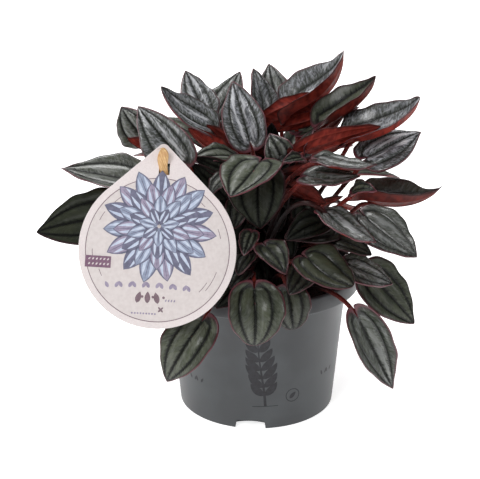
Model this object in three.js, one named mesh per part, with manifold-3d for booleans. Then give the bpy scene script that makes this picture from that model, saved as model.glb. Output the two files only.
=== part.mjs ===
// Ripple peperomia growing in a plastic nursery pot, with a round care tag on a bamboo stick.
// Units are millimetres. +Z is up, -Y is the front, and the origin is the centre of the pot's foot.
import * as THREE from "three";
import { mergeVertices } from "three/addons/utils/BufferGeometryUtils.js";
import Module from "manifold-3d";

const wasm = await Module();
wasm.setup();

// ---------------------------------------------------------------- driving dimensions

const seatGap = 0.3;

const pot = {
  height: 84,
  footRadius: 46,
  shoulderHeight: 74,
  bodyTopRadius: 52.5,
  collarRadius: 60,
  collarDrop: 1.2,
  wall: 1.6,
  floor: 2.4,
  footStep: 4.5,
  footWidth: 4,
  padRadius: 14,
  sides: 48,
  notches: 3,
  notchWidth: 17,
  notchHeight: 5.5,
  notchTurn: -5,
  drains: 6,
  drainRadius: 4,
  drainCircle: 27,
};

const soilTop = 72;
const soilCrown = 2;

const crown = { radius: 17, height: 15, z: 68 };

const petiole = { radius: 1.25, rings: 6, seatSpacing: 4.4, under: 1, lowReach: 0.35, highReach: 0.33 };

// The margins sweep back and lift by these powers of the distance from the midrib.
const blade = { thickness: 1.1, bow: 2.2, cup: 3.2, stalkAngle: 32, sweepPower: 1.5, cupPower: 1.6 };

const tag = {
  radius: 41.2,
  apexHeight: 55.5,
  apexRadius: 3,
  thickness: 0.9,
  centre: [-53, -75, 121],
  lean: 18,
  yaw: 3,
  roll: -4.6,
  slotHeight: 42.5,
  slotWidth: 6.5,
  slotDepth: 6,
};

// The stick leans from the soil out over the rim, through the card's slot, and ends in front of it.
const stick = { width: 5.2, thickness: 1.4, foot: [-15.5, -19.5, 30], rise: 154, bareFrom: 45 };

// How far a leaf gives way to others, from 0 for not at all.
const give = { outer: 0.12, fill: 1 };

// One half of a blade's outline, from the lobe behind the stalk to the last station before the tip:
// where the midrib point and the margin point lie along the blade, and how far out the margin is.
const stations = [
  { mid: 0.03, margin: -0.13, out: 0.5 },
  { mid: 0.12, margin: -0.03, out: 0.86 },
  { mid: 0.28, margin: 0.17, out: 1.0 },
  { mid: 0.48, margin: 0.42, out: 0.96 },
  { mid: 0.69, margin: 0.66, out: 0.77 },
  { mid: 0.87, margin: 0.86, out: 0.45 },
];

// Every leaf: its name, where the stalk meets the blade, where the tip is, the blade's width,
// the way its upper face looks, and how far its margins lift and its midrib arches if that isn't
// as usual. The outer leaves give way very little. The others fill in below and behind, and give way.
const outerLeaves = [
  ["leaf_left_far", [-64.5, -25.5, 140.5], [-109, -21.5, 147], 30, [0.1, -0.4, 0.9], { cup: 6, bow: 1 }],
  ["leaf_left_large", [-77, -44.5, 131], [-122, -42.5, 121], 36, [-0.1, -0.8, 1], { cup: 4, bow: 2 }],
  ["leaf_left_top_small", [-65, 10.5, 158], [-78, 11.5, 176.5], 25.5, [-0.2, -1, -0.1], { cup: 1.5, bow: 2 }],
  ["leaf_left_top_large", [-42, -38.5, 159.5], [-65, -30, 187], 26.5, [-0.2, -1, 0.2], { cup: 6.5, bow: 1 }],
  ["leaf_upper_left_front", [-27.5, 0, 166.5], [-54, -5, 192], 29, [0.7, -0.3, 0.6], { cup: 6.5, bow: -4.5 }],
  ["leaf_upper_left_back", [-30.5, 19, 171], [-42, 36.5, 192], 22, [0.3, -0.7, 0.7], { cup: 2.5, bow: -0.5 }],
  ["leaf_top_left", [-22, 26.5, 165.5], [-7.5, 45.5, 188.5], 25, [-0.4, -0.6, 0.7], { cup: 2.5, bow: -0.5 }],
  ["leaf_top_front", [-4.5, -12, 162], [-14, 3, 192.5], 24, [-0.1, -0.9, 0.4], { cup: 7, bow: 2 }],
  ["leaf_top_middle", [1.5, 40, 164], [-4.5, 50, 191], 21, [0.6, -0.7, 0.4], { cup: 3.5, bow: 2 }],
  ["leaf_top_back", [14, 47.5, 164.5], [7.5, 65, 190], 22, [-0.3, -0.8, 0.5], { cup: 3, bow: 1.5 }],
  ["leaf_fan_1", [29.5, 23.5, 164], [57, 12, 202.5], 33.5, [-0.8, -0.1, 0.5], { cup: 16.5, bow: -8.5 }],
  ["leaf_fan_2", [34, -2.5, 171], [63, 0.5, 196.5], 26.5, [-0.6, -0.2, 0.8], { cup: 8.5, bow: -5 }],
  ["leaf_fan_3", [48, -12.5, 170], [84, -21.5, 194.5], 31, [-0.6, -0.2, 0.8], { cup: 10, bow: -7.5 }],
  ["leaf_fan_4", [59.5, -20.5, 158], [90, -8, 169], 29.5, [-0.1, -0.5, 0.9], { cup: 0.5, bow: 1 }],
  ["leaf_fan_5", [59.5, -22.5, 132], [100.5, -38, 142.5], 30.5, [-0.2, 0.1, 1], { cup: 12, bow: -5.5 }],
  ["leaf_mid_right_1", [32.5, -51, 161], [62, -58, 160.5], 24, [0, 0, 1], { cup: 3, bow: -2.5 }],
  ["leaf_mid_right_2", [27, -50.5, 152], [53.5, -62.5, 156], 24, [-0.2, -0.1, 1], { cup: 2.5, bow: -2 }],
  ["leaf_mid_right_small", [48.5, -60, 151], [60.5, -66, 154], 11, [0, -0.6, 1]],
  ["leaf_low_right_1", [36, -64.5, 137.5], [60, -83.5, 128.5], 24, [0.2, -0.1, 1], { cup: 3.5, bow: -3 }],
  ["leaf_low_right_2", [57.5, -53, 131.5], [83, -72.5, 116], 31.5, [0.2, -0.5, 0.9], { cup: 2.5, bow: -0.5 }],
  ["leaf_low_right_3", [49, -55.5, 105], [73, -57, 94.5], 22.5, [0.3, -0.4, 0.8], { cup: 1.5, bow: 0 }],
  ["leaf_front_right", [25.5, -74.5, 116], [48, -91, 107], 31, [0.1, -0.3, 0.9], { cup: 5.5, bow: -3 }],
  ["leaf_droop_right", [62.5, -36.5, 92], [89, -36.5, 62], 30, [0.5, -0.8, 0.4], { cup: 2, bow: 1 }],
  ["leaf_hang_right", [54, -65.5, 78], [75.5, -59.5, 32.5], 21.5, [0.3, -1, 0], { cup: 13.5, bow: -1.5 }],
  ["leaf_hang_left", [-30.5, -70, 78], [-50, -70.5, 42.5], 27, [-0.3, -0.9, 0.2], { cup: 5, bow: 6.5 }],
  ["leaf_front_centre", [-2.5, -71.5, 97.5], [-2.5, -74.5, 66], 30.5, [0.1, -1, 0.1], { cup: 8, bow: 7 }],
  ["leaf_front_behind", [15.5, -65.5, 94.5], [19, -62.5, 70], 22.5, [0.1, -1, -0.1], { cup: 4, bow: 3.5 }],
  ["leaf_front_small", [3.5, -78, 124], [13.5, -92, 114], 17, [0.1, -0.7, 1]],
  ["leaf_centre_left", [1.5, -44, 157], [-13.5, -72.5, 147.5], 33, [-0.1, -0.2, 1], { cup: 5, bow: -0.5 }],
  ["leaf_centre_large", [-1.5, -53, 158.5], [-0.5, -58.5, 128.5], 31, [-0.2, -1, 0.2], { cup: 4, bow: 5.5 }],
  ["leaf_centre_side", [-14, -20.5, 156], [-38, -30.5, 156], 20, [0, -0.3, 1]],
  ["leaf_centre_top", [13, -25.5, 157], [6, -23.5, 170], 17, [0, -1, 0.2]],
  ["leaf_centre_upright", [25.5, -22.5, 152.5], [31.5, -18.5, 171.5], 14, [-1, -0.3, 0.2]],
];

const fillLeaves = [
  ["leaf_shade_right", [33, -54.5, 128.5], [14, -64.5, 121.5], 18, [0, -0.8, 1]],
  ["leaf_shade_middle", [25, -42.5, 136.5], [22, -50.5, 124.5], 15, [0, -1, 0.6]],
  ["leaf_shade_left", [-10.5, -66, 96.5], [-22.5, -74, 86.5], 17, [-0.2, -1, 0.6]],
  ["leaf_behind_tag_1", [-38, -26, 105.5], [-72, -40, 91.5], 26, [-0.3, -0.6, 1]],
  ["leaf_behind_tag_2", [-49.5, -8, 118], [-91.5, -12, 98], 27, [-0.5, 0, 1]],
  ["leaf_behind_tag_3", [-46.5, 22.5, 130], [-90.5, 32.5, 124], 27, [-0.2, 0.1, 1]],
  ["leaf_back_low_1", [64, 14, 106], [94, 26, 84], 27, [0.6, 0, 1]],
  ["leaf_back_low_2", [52, 47, 105.5], [80, 69, 79.5], 27, [0.5, 0.4, 1]],
  ["leaf_back_low_3", [24, 62, 108], [36, 96, 84], 28, [0.2, 0.6, 1]],
  ["leaf_back_low_4", [-12, 66.5, 106], [-18, 102.5, 82], 27, [0, 0.6, 1]],
  ["leaf_back_low_5", [-44, 50, 108], [-66, 76, 84], 28, [-0.4, 0.5, 1]],
  ["leaf_back_low_6", [-63.5, 21, 110.5], [-96.5, 33, 86.5], 27, [-0.6, 0.2, 1]],
  ["leaf_back_mid_1", [48, 14, 136], [86, 30, 128], 27, [0.1, 0, 1]],
  ["leaf_back_mid_2", [32.5, 39, 141.5], [60.5, 72, 137.5], 28, [0.1, 0.2, 1]],
  ["leaf_back_mid_3", [8, 56, 130], [14, 98, 120], 27, [0, 0.3, 1]],
  ["leaf_back_mid_4", [-16.5, 49.5, 136.5], [-30.5, 91.5, 130.5], 28, [0, 0.2, 1]],
  ["leaf_back_mid_5", [-42, 28.5, 139], [-76, 54.5, 135], 28, [-0.2, 0.2, 1]],
  ["leaf_back_up_1", [27, 22.5, 159], [61, 40.5, 169], 25, [-0.1, -0.1, 1]],
  ["leaf_back_up_2", [24.5, 37, 142.5], [42.5, 73, 148.5], 25, [0, -0.2, 1]],
  ["leaf_back_up_3", [-11, 35, 156], [-25, 73, 166], 25, [0, -0.2, 1]],
  ["leaf_back_up_4", [-28.5, 11.5, 154.5], [-64.5, 33.5, 164.5], 26, [0.1, -0.1, 1]],
  ["leaf_back_top", [-7.5, 28.5, 152], [-11.5, 38.5, 178], 18, [0, 1, 0.3]],
];

const leafFrom = (yields) => ([name, base, tip, width, faces, { cup, bow } = blade]) => ({
  name,
  base: new THREE.Vector3(...base),
  tip: new THREE.Vector3(...tip),
  width,
  faces: new THREE.Vector3(...faces),
  cup,
  bow,
  give: yields,
});

const leaves = [...outerLeaves.map(leafFrom(give.outer)), ...fillLeaves.map(leafFrom(give.fill))];

// ---------------------------------------------------------------- materials

const material = (color, roughness, metalness = 0) =>
  new THREE.MeshStandardMaterial({ color, roughness, metalness });

const materials = {
  pot: material("#63676b", 0.42),
  soil: material("#2a211b", 0.95),
  crown: material("#5a3a30", 0.7),
  leaf: material("#4a5048", 0.45),
  tag: material("#e3dad9", 0.6),
  stick: material("#c9a060", 0.7),
};

// ---------------------------------------------------------------- solids and joins

const degrees = (angle) => THREE.MathUtils.degToRad(angle);

// A closed geometry as a manifold solid, with only positions and merged vertices.
function solidOf(geometry) {
  const bare = geometry.clone();
  bare.deleteAttribute("normal");
  bare.deleteAttribute("uv");
  const merged = mergeVertices(bare, 1e-4);
  return new wasm.Manifold(
    new wasm.Mesh({
      numProp: 3,
      vertProperties: new Float32Array(merged.attributes.position.array),
      triVerts: new Uint32Array(merged.index.array),
    }),
  );
}

function geometryOf(solid) {
  const mesh = solid.getMesh();
  const geometry = new THREE.BufferGeometry();
  geometry.setAttribute("position", new THREE.BufferAttribute(mesh.vertProperties, 3));
  geometry.setIndex(new THREE.BufferAttribute(mesh.triVerts, 1));
  return geometry;
}

// A body turned about Z from a closed list of [radius, height] points.
function turned(profile, sides) {
  const points = profile.map(([radius, height]) => new THREE.Vector2(radius, height));
  return new THREE.LatheGeometry(points, sides).rotateX(Math.PI / 2);
}

// ---------------------------------------------------------------- pot, soil and crown

function potGeometry() {
  const { wall, floor, footStep, footWidth, padRadius, collarRadius, collarDrop } = pot;
  const innerFoot = pot.footRadius - wall;
  const innerShoulder = pot.bodyTopRadius - wall;
  const innerCollar = collarRadius - wall - 1;
  const profile = [
    [0, 0],
    [padRadius, 0],
    [padRadius + footStep, footStep],
    [pot.footRadius - footWidth - footStep, footStep],
    [pot.footRadius - footWidth, 0],
    [pot.footRadius, 0],
    [pot.bodyTopRadius, pot.shoulderHeight],
    [collarRadius - 1, pot.shoulderHeight],
    [collarRadius, pot.shoulderHeight + collarDrop],
    [collarRadius, pot.height - collarDrop],
    [collarRadius - wall / 2, pot.height],
    [innerCollar, pot.height - collarDrop],
    [innerCollar, pot.shoulderHeight + wall],
    [innerShoulder, pot.shoulderHeight],
    [innerFoot, footStep + floor],
    [0, footStep + floor],
  ];
  let solid = solidOf(turned(profile, pot.sides));
  const notchDepth = 2 * footWidth + footStep;
  for (let i = 0; i < pot.notches; i++) {
    const box = new THREE.BoxGeometry(pot.notchWidth, notchDepth, 2 * pot.notchHeight);
    box.translate(0, -pot.footRadius, 0);
    box.rotateZ(degrees(pot.notchTurn + (360 / pot.notches) * i));
    solid = solid.subtract(solidOf(box));
  }
  for (let i = 0; i < pot.drains; i++) {
    const turn = degrees((360 / pot.drains) * (i + 0.5));
    const hole = new THREE.CylinderGeometry(pot.drainRadius, pot.drainRadius, 20, 10);
    hole.rotateX(Math.PI / 2);
    hole.translate(pot.drainCircle * Math.cos(turn), pot.drainCircle * Math.sin(turn), 0);
    solid = solid.subtract(solidOf(hole));
  }
  return geometryOf(solid);
}

// The pot's inner radius at a height below its shoulder.
function innerRadius(z) {
  const rise = (z - pot.footStep - pot.floor) / (pot.shoulderHeight - pot.footStep - pot.floor);
  return pot.footRadius - pot.wall + (pot.bodyTopRadius - pot.footRadius) * rise;
}

function soilGeometry() {
  const bottom = pot.footStep + pot.floor + seatGap;
  const profile = [
    [0, bottom],
    [innerRadius(bottom) - 2 * seatGap, bottom],
    [innerRadius(soilTop) - 2 * seatGap, soilTop - soilCrown],
    [30, soilTop - 0.4],
    [0, soilTop],
  ];
  const bed = solidOf(turned(profile, pot.sides));
  const hole = new THREE.BoxGeometry(stick.width + 2 * seatGap, stick.thickness + 2 * seatGap, 80);
  hole.translate(0, 0, 40);
  hole.applyMatrix4(stickFrame());
  return geometryOf(bed.subtract(solidOf(hole)));
}

// A low knob of short stem from which every leaf stalk rises.
function crownGeometry() {
  const points = [[0, soilTop + seatGap]];
  const steps = 6;
  for (let i = 0; i <= steps; i++) {
    const angle = (i / steps) * (Math.PI / 2);
    const height = crown.z + crown.height * Math.sin(angle);
    if (height > soilTop + seatGap) {
      points.push([crown.radius * Math.cos(angle), height]);
    }
  }
  const lowest = Math.sqrt(1 - ((soilTop + seatGap - crown.z) / crown.height) ** 2);
  points.splice(1, 0, [crown.radius * lowest, soilTop + seatGap]);
  points[points.length - 1][0] = 0;
  return turned(points, 20);
}

// ---------------------------------------------------------------- tag and its stick

// The tag's own frame: local X to the right, local Y up the card, local Z to the front.
function tagFrame() {
  const roll = new THREE.Matrix4().makeRotationZ(degrees(tag.roll));
  const frame = new THREE.Matrix4().makeRotationX(Math.PI / 2 - degrees(tag.lean));
  const turn = new THREE.Matrix4().makeRotationZ(degrees(tag.yaw));
  const move = new THREE.Matrix4().makeTranslation(...tag.centre);
  return move.multiply(turn).multiply(frame).multiply(roll);
}

// The stick's frame: the origin at its foot, local Z up its length, local Y across its thickness.
function stickFrame() {
  const foot = new THREE.Vector3(...stick.foot);
  const slot = new THREE.Vector3(0, tag.slotHeight, 0).applyMatrix4(tagFrame());
  const up = slot.sub(foot).normalize();
  const across = new THREE.Vector3().crossVectors(new THREE.Vector3(0, 1, 0), up).normalize();
  const through = new THREE.Vector3().crossVectors(up, across);
  return new THREE.Matrix4().makeBasis(across, through, up).setPosition(foot);
}

function tagGeometry() {
  const outline = new THREE.Shape();
  const side = Math.acos(tag.radius / tag.apexHeight);
  const from = Math.PI / 2 + side;
  const to = Math.PI / 2 - side + 2 * Math.PI;
  outline.moveTo(-tag.apexRadius * Math.sin(side), tag.apexHeight - tag.apexRadius / 2);
  outline.absarc(0, 0, tag.radius, from, to, false);
  outline.lineTo(tag.apexRadius * Math.sin(side), tag.apexHeight - tag.apexRadius / 2);
  outline.closePath();
  const slot = new THREE.Path();
  const halfWidth = tag.slotWidth / 2;
  const halfDepth = tag.slotDepth / 2;
  slot.moveTo(-halfWidth, tag.slotHeight - halfDepth);
  slot.lineTo(-halfWidth, tag.slotHeight + halfDepth);
  slot.lineTo(halfWidth, tag.slotHeight + halfDepth);
  slot.lineTo(halfWidth, tag.slotHeight - halfDepth);
  slot.closePath();
  outline.holes.push(slot);
  const card = new THREE.ExtrudeGeometry(outline, {
    depth: tag.thickness,
    bevelEnabled: false,
    curveSegments: 24,
  });
  card.translate(0, 0, -tag.thickness / 2);
  return card.applyMatrix4(tagFrame());
}

function stickGeometry() {
  const strip = new THREE.BoxGeometry(stick.width, stick.thickness, stick.rise);
  strip.translate(0, 0, stick.rise / 2);
  return strip.applyMatrix4(stickFrame());
}

// ---------------------------------------------------------------- leaves

// A leaf's own frame: along the midrib, across to its left, and out of its upper face.
function leafFrame(leaf) {
  const along = leaf.tip.clone().sub(leaf.base);
  leaf.length = along.length();
  leaf.along = along.normalize();
  leaf.up = leaf.faces.clone().addScaledVector(leaf.along, -leaf.faces.dot(leaf.along)).normalize();
  leaf.left = new THREE.Vector3().crossVectors(leaf.up, leaf.along);
  const angle = degrees(blade.stalkAngle);
  leaf.stalk = leaf.along.clone().multiplyScalar(Math.cos(angle));
  leaf.stalk.addScaledVector(leaf.up, Math.sin(angle));
}

// A point of the blade: station along it, across from -1 to 1, and height above its middle surface.
function bladePoint(leaf, { mid, margin, out }, across, height) {
  const edge = Math.abs(across);
  const x = mid + (margin - mid) * edge ** blade.sweepPower;
  const m = THREE.MathUtils.clamp(x, 0, 1);
  const rise = leaf.bow * 4 * m * (1 - m) + leaf.cup * (out * edge) ** blade.cupPower;
  return leaf.base
    .clone()
    .addScaledVector(leaf.along, x * leaf.length)
    .addScaledVector(leaf.left, (across * out * leaf.width) / 2)
    .addScaledVector(leaf.up, rise + height);
}

// The four control points of the curve that a leaf stalk follows, from the crown to the blade.
function stalkControls(leaf) {
  const end = leaf.base.clone().addScaledVector(leaf.up, -petiole.under);
  const reach = leaf.root.distanceTo(end);
  return [
    leaf.root,
    leaf.root.clone().addScaledVector(leaf.outward, reach * petiole.lowReach).add(leaf.bendLow),
    end.clone().addScaledVector(leaf.stalk, -reach * petiole.highReach).add(leaf.bendHigh),
    end,
  ];
}

function stalkCurve(leaf) {
  return new THREE.CubicBezierCurve3(...stalkControls(leaf));
}

// Closed skin over rings of equal size, with a point at each end.
function loft(start, rings, end) {
  const size = rings[0].length;
  const points = [start, ...rings.flat(), end];
  const index = [];
  const at = (ring, k) => 1 + ring * size + (k % size);
  for (let k = 0; k < size; k++) {
    index.push(0, at(0, k + 1), at(0, k));
    index.push(points.length - 1, at(rings.length - 1, k), at(rings.length - 1, k + 1));
  }
  for (let ring = 0; ring + 1 < rings.length; ring++) {
    for (let k = 0; k < size; k++) {
      index.push(at(ring, k), at(ring + 1, k + 1), at(ring + 1, k));
      index.push(at(ring, k), at(ring, k + 1), at(ring + 1, k + 1));
    }
  }
  const geometry = new THREE.BufferGeometry().setFromPoints(points);
  geometry.setIndex(index);
  return geometry;
}

// Each ring runs from the left margin over the upper face to the right margin and back below.
function leafGeometry(leaf) {
  const half = blade.thickness / 2;
  const section = [
    [1, 0],
    [0.5, half],
    [0, half],
    [-0.5, half],
    [-1, 0],
    [-0.5, -half],
    [0, -half],
    [0.5, -half],
  ];
  const bladeRings = stations.map((station) =>
    section.map(([across, height]) => bladePoint(leaf, station, across, height)),
  );
  const curve = stalkCurve(leaf);
  const stalkRings = [];
  let side = leaf.left.clone();
  for (let i = petiole.rings - 1; i >= 0; i--) {
    const t = i / (petiole.rings - 1);
    const along = curve.getTangent(t);
    side = side.addScaledVector(along, -side.dot(along)).normalize();
    const up = new THREE.Vector3().crossVectors(along, side);
    const centre = curve.getPoint(t);
    const ring = section.map((_, k) => {
      const angle = (k / section.length) * 2 * Math.PI;
      return centre
        .clone()
        .addScaledVector(side, petiole.radius * Math.cos(angle))
        .addScaledVector(up, petiole.radius * Math.sin(angle));
    });
    stalkRings.unshift(ring);
  }
  return loft(curve.getPoint(0), [...stalkRings, ...bladeRings], leaf.tip.clone());
}

// ---------------------------------------------------------------- how the leaves settle

const seatRounds = 200;
const settleRounds = 60;
const lowestSeat = 0.38;

// What share of an overlap is cleared in one round.
const ease = { seat: 0.25, blade: 0.4, pot: 0.3, stalk: 0.3, pair: 0.15 };

// The seats of the stalks: each points at its own blade, spread until no two are too close.
function seatStalks() {
  const heart = new THREE.Vector3(0, 0, crown.z);
  const aims = leaves.map((leaf) => leaf.base.clone().sub(heart).normalize());
  const spacing = petiole.seatSpacing / crown.radius;
  for (let round = 0; round < seatRounds; round++) {
    for (let i = 0; i < aims.length; i++) {
      for (let j = i + 1; j < aims.length; j++) {
        const apart = aims[j].clone().sub(aims[i]);
        const gap = apart.length();
        if (gap < spacing) {
          apart.multiplyScalar((ease.seat * (spacing - gap)) / gap);
          aims[i].sub(apart);
          aims[j].add(apart);
        }
      }
    }
    aims.forEach((aim) => {
      aim.z = Math.max(aim.z, lowestSeat);
      aim.normalize();
    });
  }
  leaves.forEach((leaf, i) => {
    const { x, y, z } = aims[i];
    const surface = new THREE.Vector3(x * crown.radius, y * crown.radius, z * crown.height);
    const normal = new THREE.Vector3(x / crown.radius, y / crown.radius, z / crown.height).normalize();
    leaf.outward = normal;
    leaf.root = heart.clone().add(surface).addScaledVector(normal, seatGap);
    leaf.bendLow = new THREE.Vector3();
    leaf.bendHigh = new THREE.Vector3();
  });
}

// Clearances between the middle surfaces and centre lines of blades, stalks and stick.
const bladeGap = 2.6;
const stalkGap = 4.6;
const stickToBlade = 4.5;
const stickToStalk = 6.5;
const potClear = { rimTop: 3.2, rimOut: 3.5, soil: 3, mouth: 48, wall: 54 };

// A point counts as near a sample of a blade within this distance across it and above it.
const reachAcross = 5.5;
const reachUp = 9;

const stalkSamples = 14;
const cardPitch = 8;
const stickPitch = 5;

// Points spread over a blade, used to find where it comes too near to something else.
function bladeSamples(leaf) {
  const samples = [];
  for (const station of [...stations, { mid: 1, margin: 1, out: 0 }]) {
    for (const across of [-0.9, -0.45, 0, 0.45, 0.9]) {
      samples.push(bladePoint(leaf, station, across, 0));
    }
  }
  return samples;
}

// How far a set of points has to move along a blade's own normal to clear it, on the side where
// most of them already are.
function overlapWith(leaf, points, clearance, sides, key) {
  const hits = [];
  let lean = 0;
  for (const sample of leaf.samples) {
    for (let k = 0; k < points.length; k++) {
      const apart = points[k].clone().sub(sample);
      const height = apart.dot(leaf.up);
      const sideways = apart.lengthSq() - height * height;
      if (sideways < reachAcross ** 2 && Math.abs(height) < reachUp) {
        lean += height;
        hits.push([height, k]);
      }
    }
  }
  if (hits.length === 0) {
    return null;
  }
  if (!sides.has(key)) {
    sides.set(key, Math.sign(lean) || 1);
  }
  const side = sides.get(key);
  let worst = null;
  for (const [height, k] of hits) {
    const need = clearance - side * height;
    if (need > 0 && (worst === null || need > worst.need)) {
      worst = { need, k, direction: leaf.up.clone().multiplyScalar(side) };
    }
  }
  return worst;
}

// The card as something to clear: points over its face, and the way its face looks.
function cardObstacle() {
  const frame = tagFrame();
  const samples = [];
  const half = 5 * cardPitch;
  for (let x = -half; x <= half; x += cardPitch) {
    for (let y = -half; y <= half + cardPitch; y += cardPitch) {
      if (Math.hypot(x, y) < tag.radius || (y > 0 && Math.abs(x) < tag.apexHeight - y)) {
        samples.push(new THREE.Vector3(x, y, 0).applyMatrix4(frame));
      }
    }
  }
  const up = new THREE.Vector3(0, 0, 1).transformDirection(frame);
  return { samples, up };
}

function stickPoints() {
  const frame = stickFrame();
  const points = [];
  for (let height = stick.bareFrom; height < stick.rise; height += stickPitch) {
    points.push(new THREE.Vector3(0, 0, height).applyMatrix4(frame));
  }
  return points;
}

// How a point has to move to stay clear of the pot's rim and the soil.
function clearOfPot(point) {
  const radius = Math.hypot(point.x, point.y);
  const rimTop = pot.height + potClear.rimTop;
  const rimOut = pot.collarRadius + potClear.rimOut;
  if (radius > rimOut || point.z > rimTop) {
    return null;
  }
  const rise = (radius > potClear.mouth ? rimTop : soilTop + potClear.soil) - point.z;
  const out = rimOut - radius;
  if (radius > potClear.wall && out < rise) {
    return new THREE.Vector3((point.x * out) / radius, (point.y * out) / radius, 0);
  }
  return rise > 0 ? new THREE.Vector3(0, 0, rise) : null;
}

function stalkPoints(leaf) {
  const curve = stalkCurve(leaf);
  const points = [];
  for (let k = 1; k < stalkSamples; k++) {
    points.push(curve.getPoint(k / stalkSamples));
  }
  return points;
}

function moveBlade(leaf, step) {
  leaf.base.add(step);
  leaf.tip.add(step);
  leaf.samples.forEach((sample) => sample.add(step));
}

function bendStalk(leaf, k, step) {
  const t = (k + 1) / stalkSamples;
  const low = 3 * t * (1 - t) ** 2;
  const high = 3 * t * t * (1 - t);
  const share = low * low + high * high;
  leaf.bendLow.addScaledVector(step, low / share);
  leaf.bendHigh.addScaledVector(step, high / share);
}

// Blades and stalks push each other aside a little at a time until they all clear.
function settle() {
  const sides = new Map();
  leaves.forEach((leaf) => {
    leafFrame(leaf);
    leaf.samples = bladeSamples(leaf);
    leaf.middle = () => leaf.base.clone().lerp(leaf.tip, 0.5);
  });
  seatStalks();
  const card = cardObstacle();
  const stickLine = stickPoints();
  for (let round = 0; round < settleRounds; round++) {
    for (const leaf of leaves) {
      const byCard = overlapWith(card, leaf.samples, bladeGap, sides, `card/${leaf.name}`);
      if (byCard) {
        moveBlade(leaf, byCard.direction.multiplyScalar(ease.blade * byCard.need));
      }
      const byStick = overlapWith(leaf, stickLine, stickToBlade, sides, `stick/${leaf.name}`);
      if (byStick) {
        moveBlade(leaf, byStick.direction.multiplyScalar(-ease.blade * byStick.need));
      }
      for (const sample of leaf.samples) {
        const step = clearOfPot(sample);
        if (step) {
          moveBlade(leaf, step.multiplyScalar(ease.pot));
        }
      }
    }
    for (let i = 0; i < leaves.length; i++) {
      for (let j = 0; j < leaves.length; j++) {
        const [a, b] = [leaves[i], leaves[j]];
        if (i === j || a.middle().distanceTo(b.middle()) > (a.length + b.length) / 2 + 12) {
          continue;
        }
        const hit = overlapWith(a, b.samples, bladeGap, sides, `${i}/${j}`);
        if (hit) {
          const share = b.give / (a.give + b.give);
          const step = hit.direction.multiplyScalar(ease.blade * hit.need);
          moveBlade(b, step.clone().multiplyScalar(share));
          moveBlade(a, step.multiplyScalar(share - 1));
        }
      }
    }
    const stalks = leaves.map(stalkPoints);
    for (let i = 0; i < leaves.length; i++) {
      for (let j = 0; j < leaves.length; j++) {
        if (i === j) {
          continue;
        }
        const hit = overlapWith(leaves[i], stalks[j], bladeGap, sides, `${i}|${j}`);
        if (hit) {
          bendStalk(leaves[j], hit.k, hit.direction.multiplyScalar(ease.stalk * hit.need));
        }
      }
    }
    leaves.forEach((leaf, i) => {
      stalks[i].forEach((point, k) => {
        const step = k > 1 ? clearOfPot(point) : null;
        if (step) {
          bendStalk(leaf, k, step.multiplyScalar(ease.pot));
        }
        for (const other of stickLine) {
          const apart = point.clone().sub(other);
          const gap = apart.length();
          if (gap < stickToStalk) {
            bendStalk(leaf, k, apart.multiplyScalar((ease.stalk * (stickToStalk - gap)) / gap));
          }
        }
      });
      const byCard = overlapWith(card, stalks[i], bladeGap, sides, `card|${leaf.name}`);
      if (byCard) {
        bendStalk(leaf, byCard.k, byCard.direction.multiplyScalar(ease.stalk * byCard.need));
      }
    });
    for (let i = 0; i < leaves.length; i++) {
      for (let j = i + 1; j < leaves.length; j++) {
        for (let k = 2; k < stalks[i].length; k++) {
          for (let m = 2; m < stalks[j].length; m++) {
            const apart = stalks[j][m].clone().sub(stalks[i][k]);
            const gap = apart.length();
            if (gap < stalkGap) {
              apart.multiplyScalar((ease.pair * (stalkGap - gap)) / gap);
              bendStalk(leaves[j], m, apart);
              bendStalk(leaves[i], k, apart.clone().negate());
            }
          }
        }
      }
    }
  }
}

// ---------------------------------------------------------------- assembly

const plant = new THREE.Group();

function add(name, geometry, look) {
  const mesh = new THREE.Mesh(geometry, look);
  mesh.name = name;
  plant.add(mesh);
}

settle();
add("pot", potGeometry(), materials.pot);
add("soil", soilGeometry(), materials.soil);
add("crown", crownGeometry(), materials.crown);
add("care_tag", tagGeometry(), materials.tag);
add("tag_stick", stickGeometry(), materials.stick);
leaves.forEach((leaf) => add(leaf.name, leafGeometry(leaf), materials.leaf));

export default plant;
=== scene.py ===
# %% [markdown]
# # A ripple peperomia in its nursery pot
#
# This is a small houseplant whose leaves are ribbed like a shell, silvery above and brick red below. It
# stands in a grey plastic pot and carries a round care tag on a bamboo stick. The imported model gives
# the place and size of every piece, so the first step loads it. Each step after that replaces one plain
# solid with a finely shaped one, and gives it a material that is drawn by nodes.

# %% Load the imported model
import math

import bmesh
import bpy
import numpy as np
from mathutils import Matrix, Vector, noise


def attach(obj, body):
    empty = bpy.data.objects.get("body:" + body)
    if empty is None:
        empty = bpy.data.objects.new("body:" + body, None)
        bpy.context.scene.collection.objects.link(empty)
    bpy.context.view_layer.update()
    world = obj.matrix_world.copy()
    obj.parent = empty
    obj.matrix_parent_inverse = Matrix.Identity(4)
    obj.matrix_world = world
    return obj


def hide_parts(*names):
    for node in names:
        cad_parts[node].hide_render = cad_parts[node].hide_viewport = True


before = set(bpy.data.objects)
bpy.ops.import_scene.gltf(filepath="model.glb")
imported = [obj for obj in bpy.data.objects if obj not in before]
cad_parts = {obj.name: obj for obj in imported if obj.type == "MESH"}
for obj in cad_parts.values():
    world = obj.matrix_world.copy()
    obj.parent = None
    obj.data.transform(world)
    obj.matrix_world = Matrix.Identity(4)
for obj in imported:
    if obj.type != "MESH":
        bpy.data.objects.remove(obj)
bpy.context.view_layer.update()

MM = 0.001  # one millimetre in Blender's metres
print("solids in the packed model:", len(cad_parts))

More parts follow.
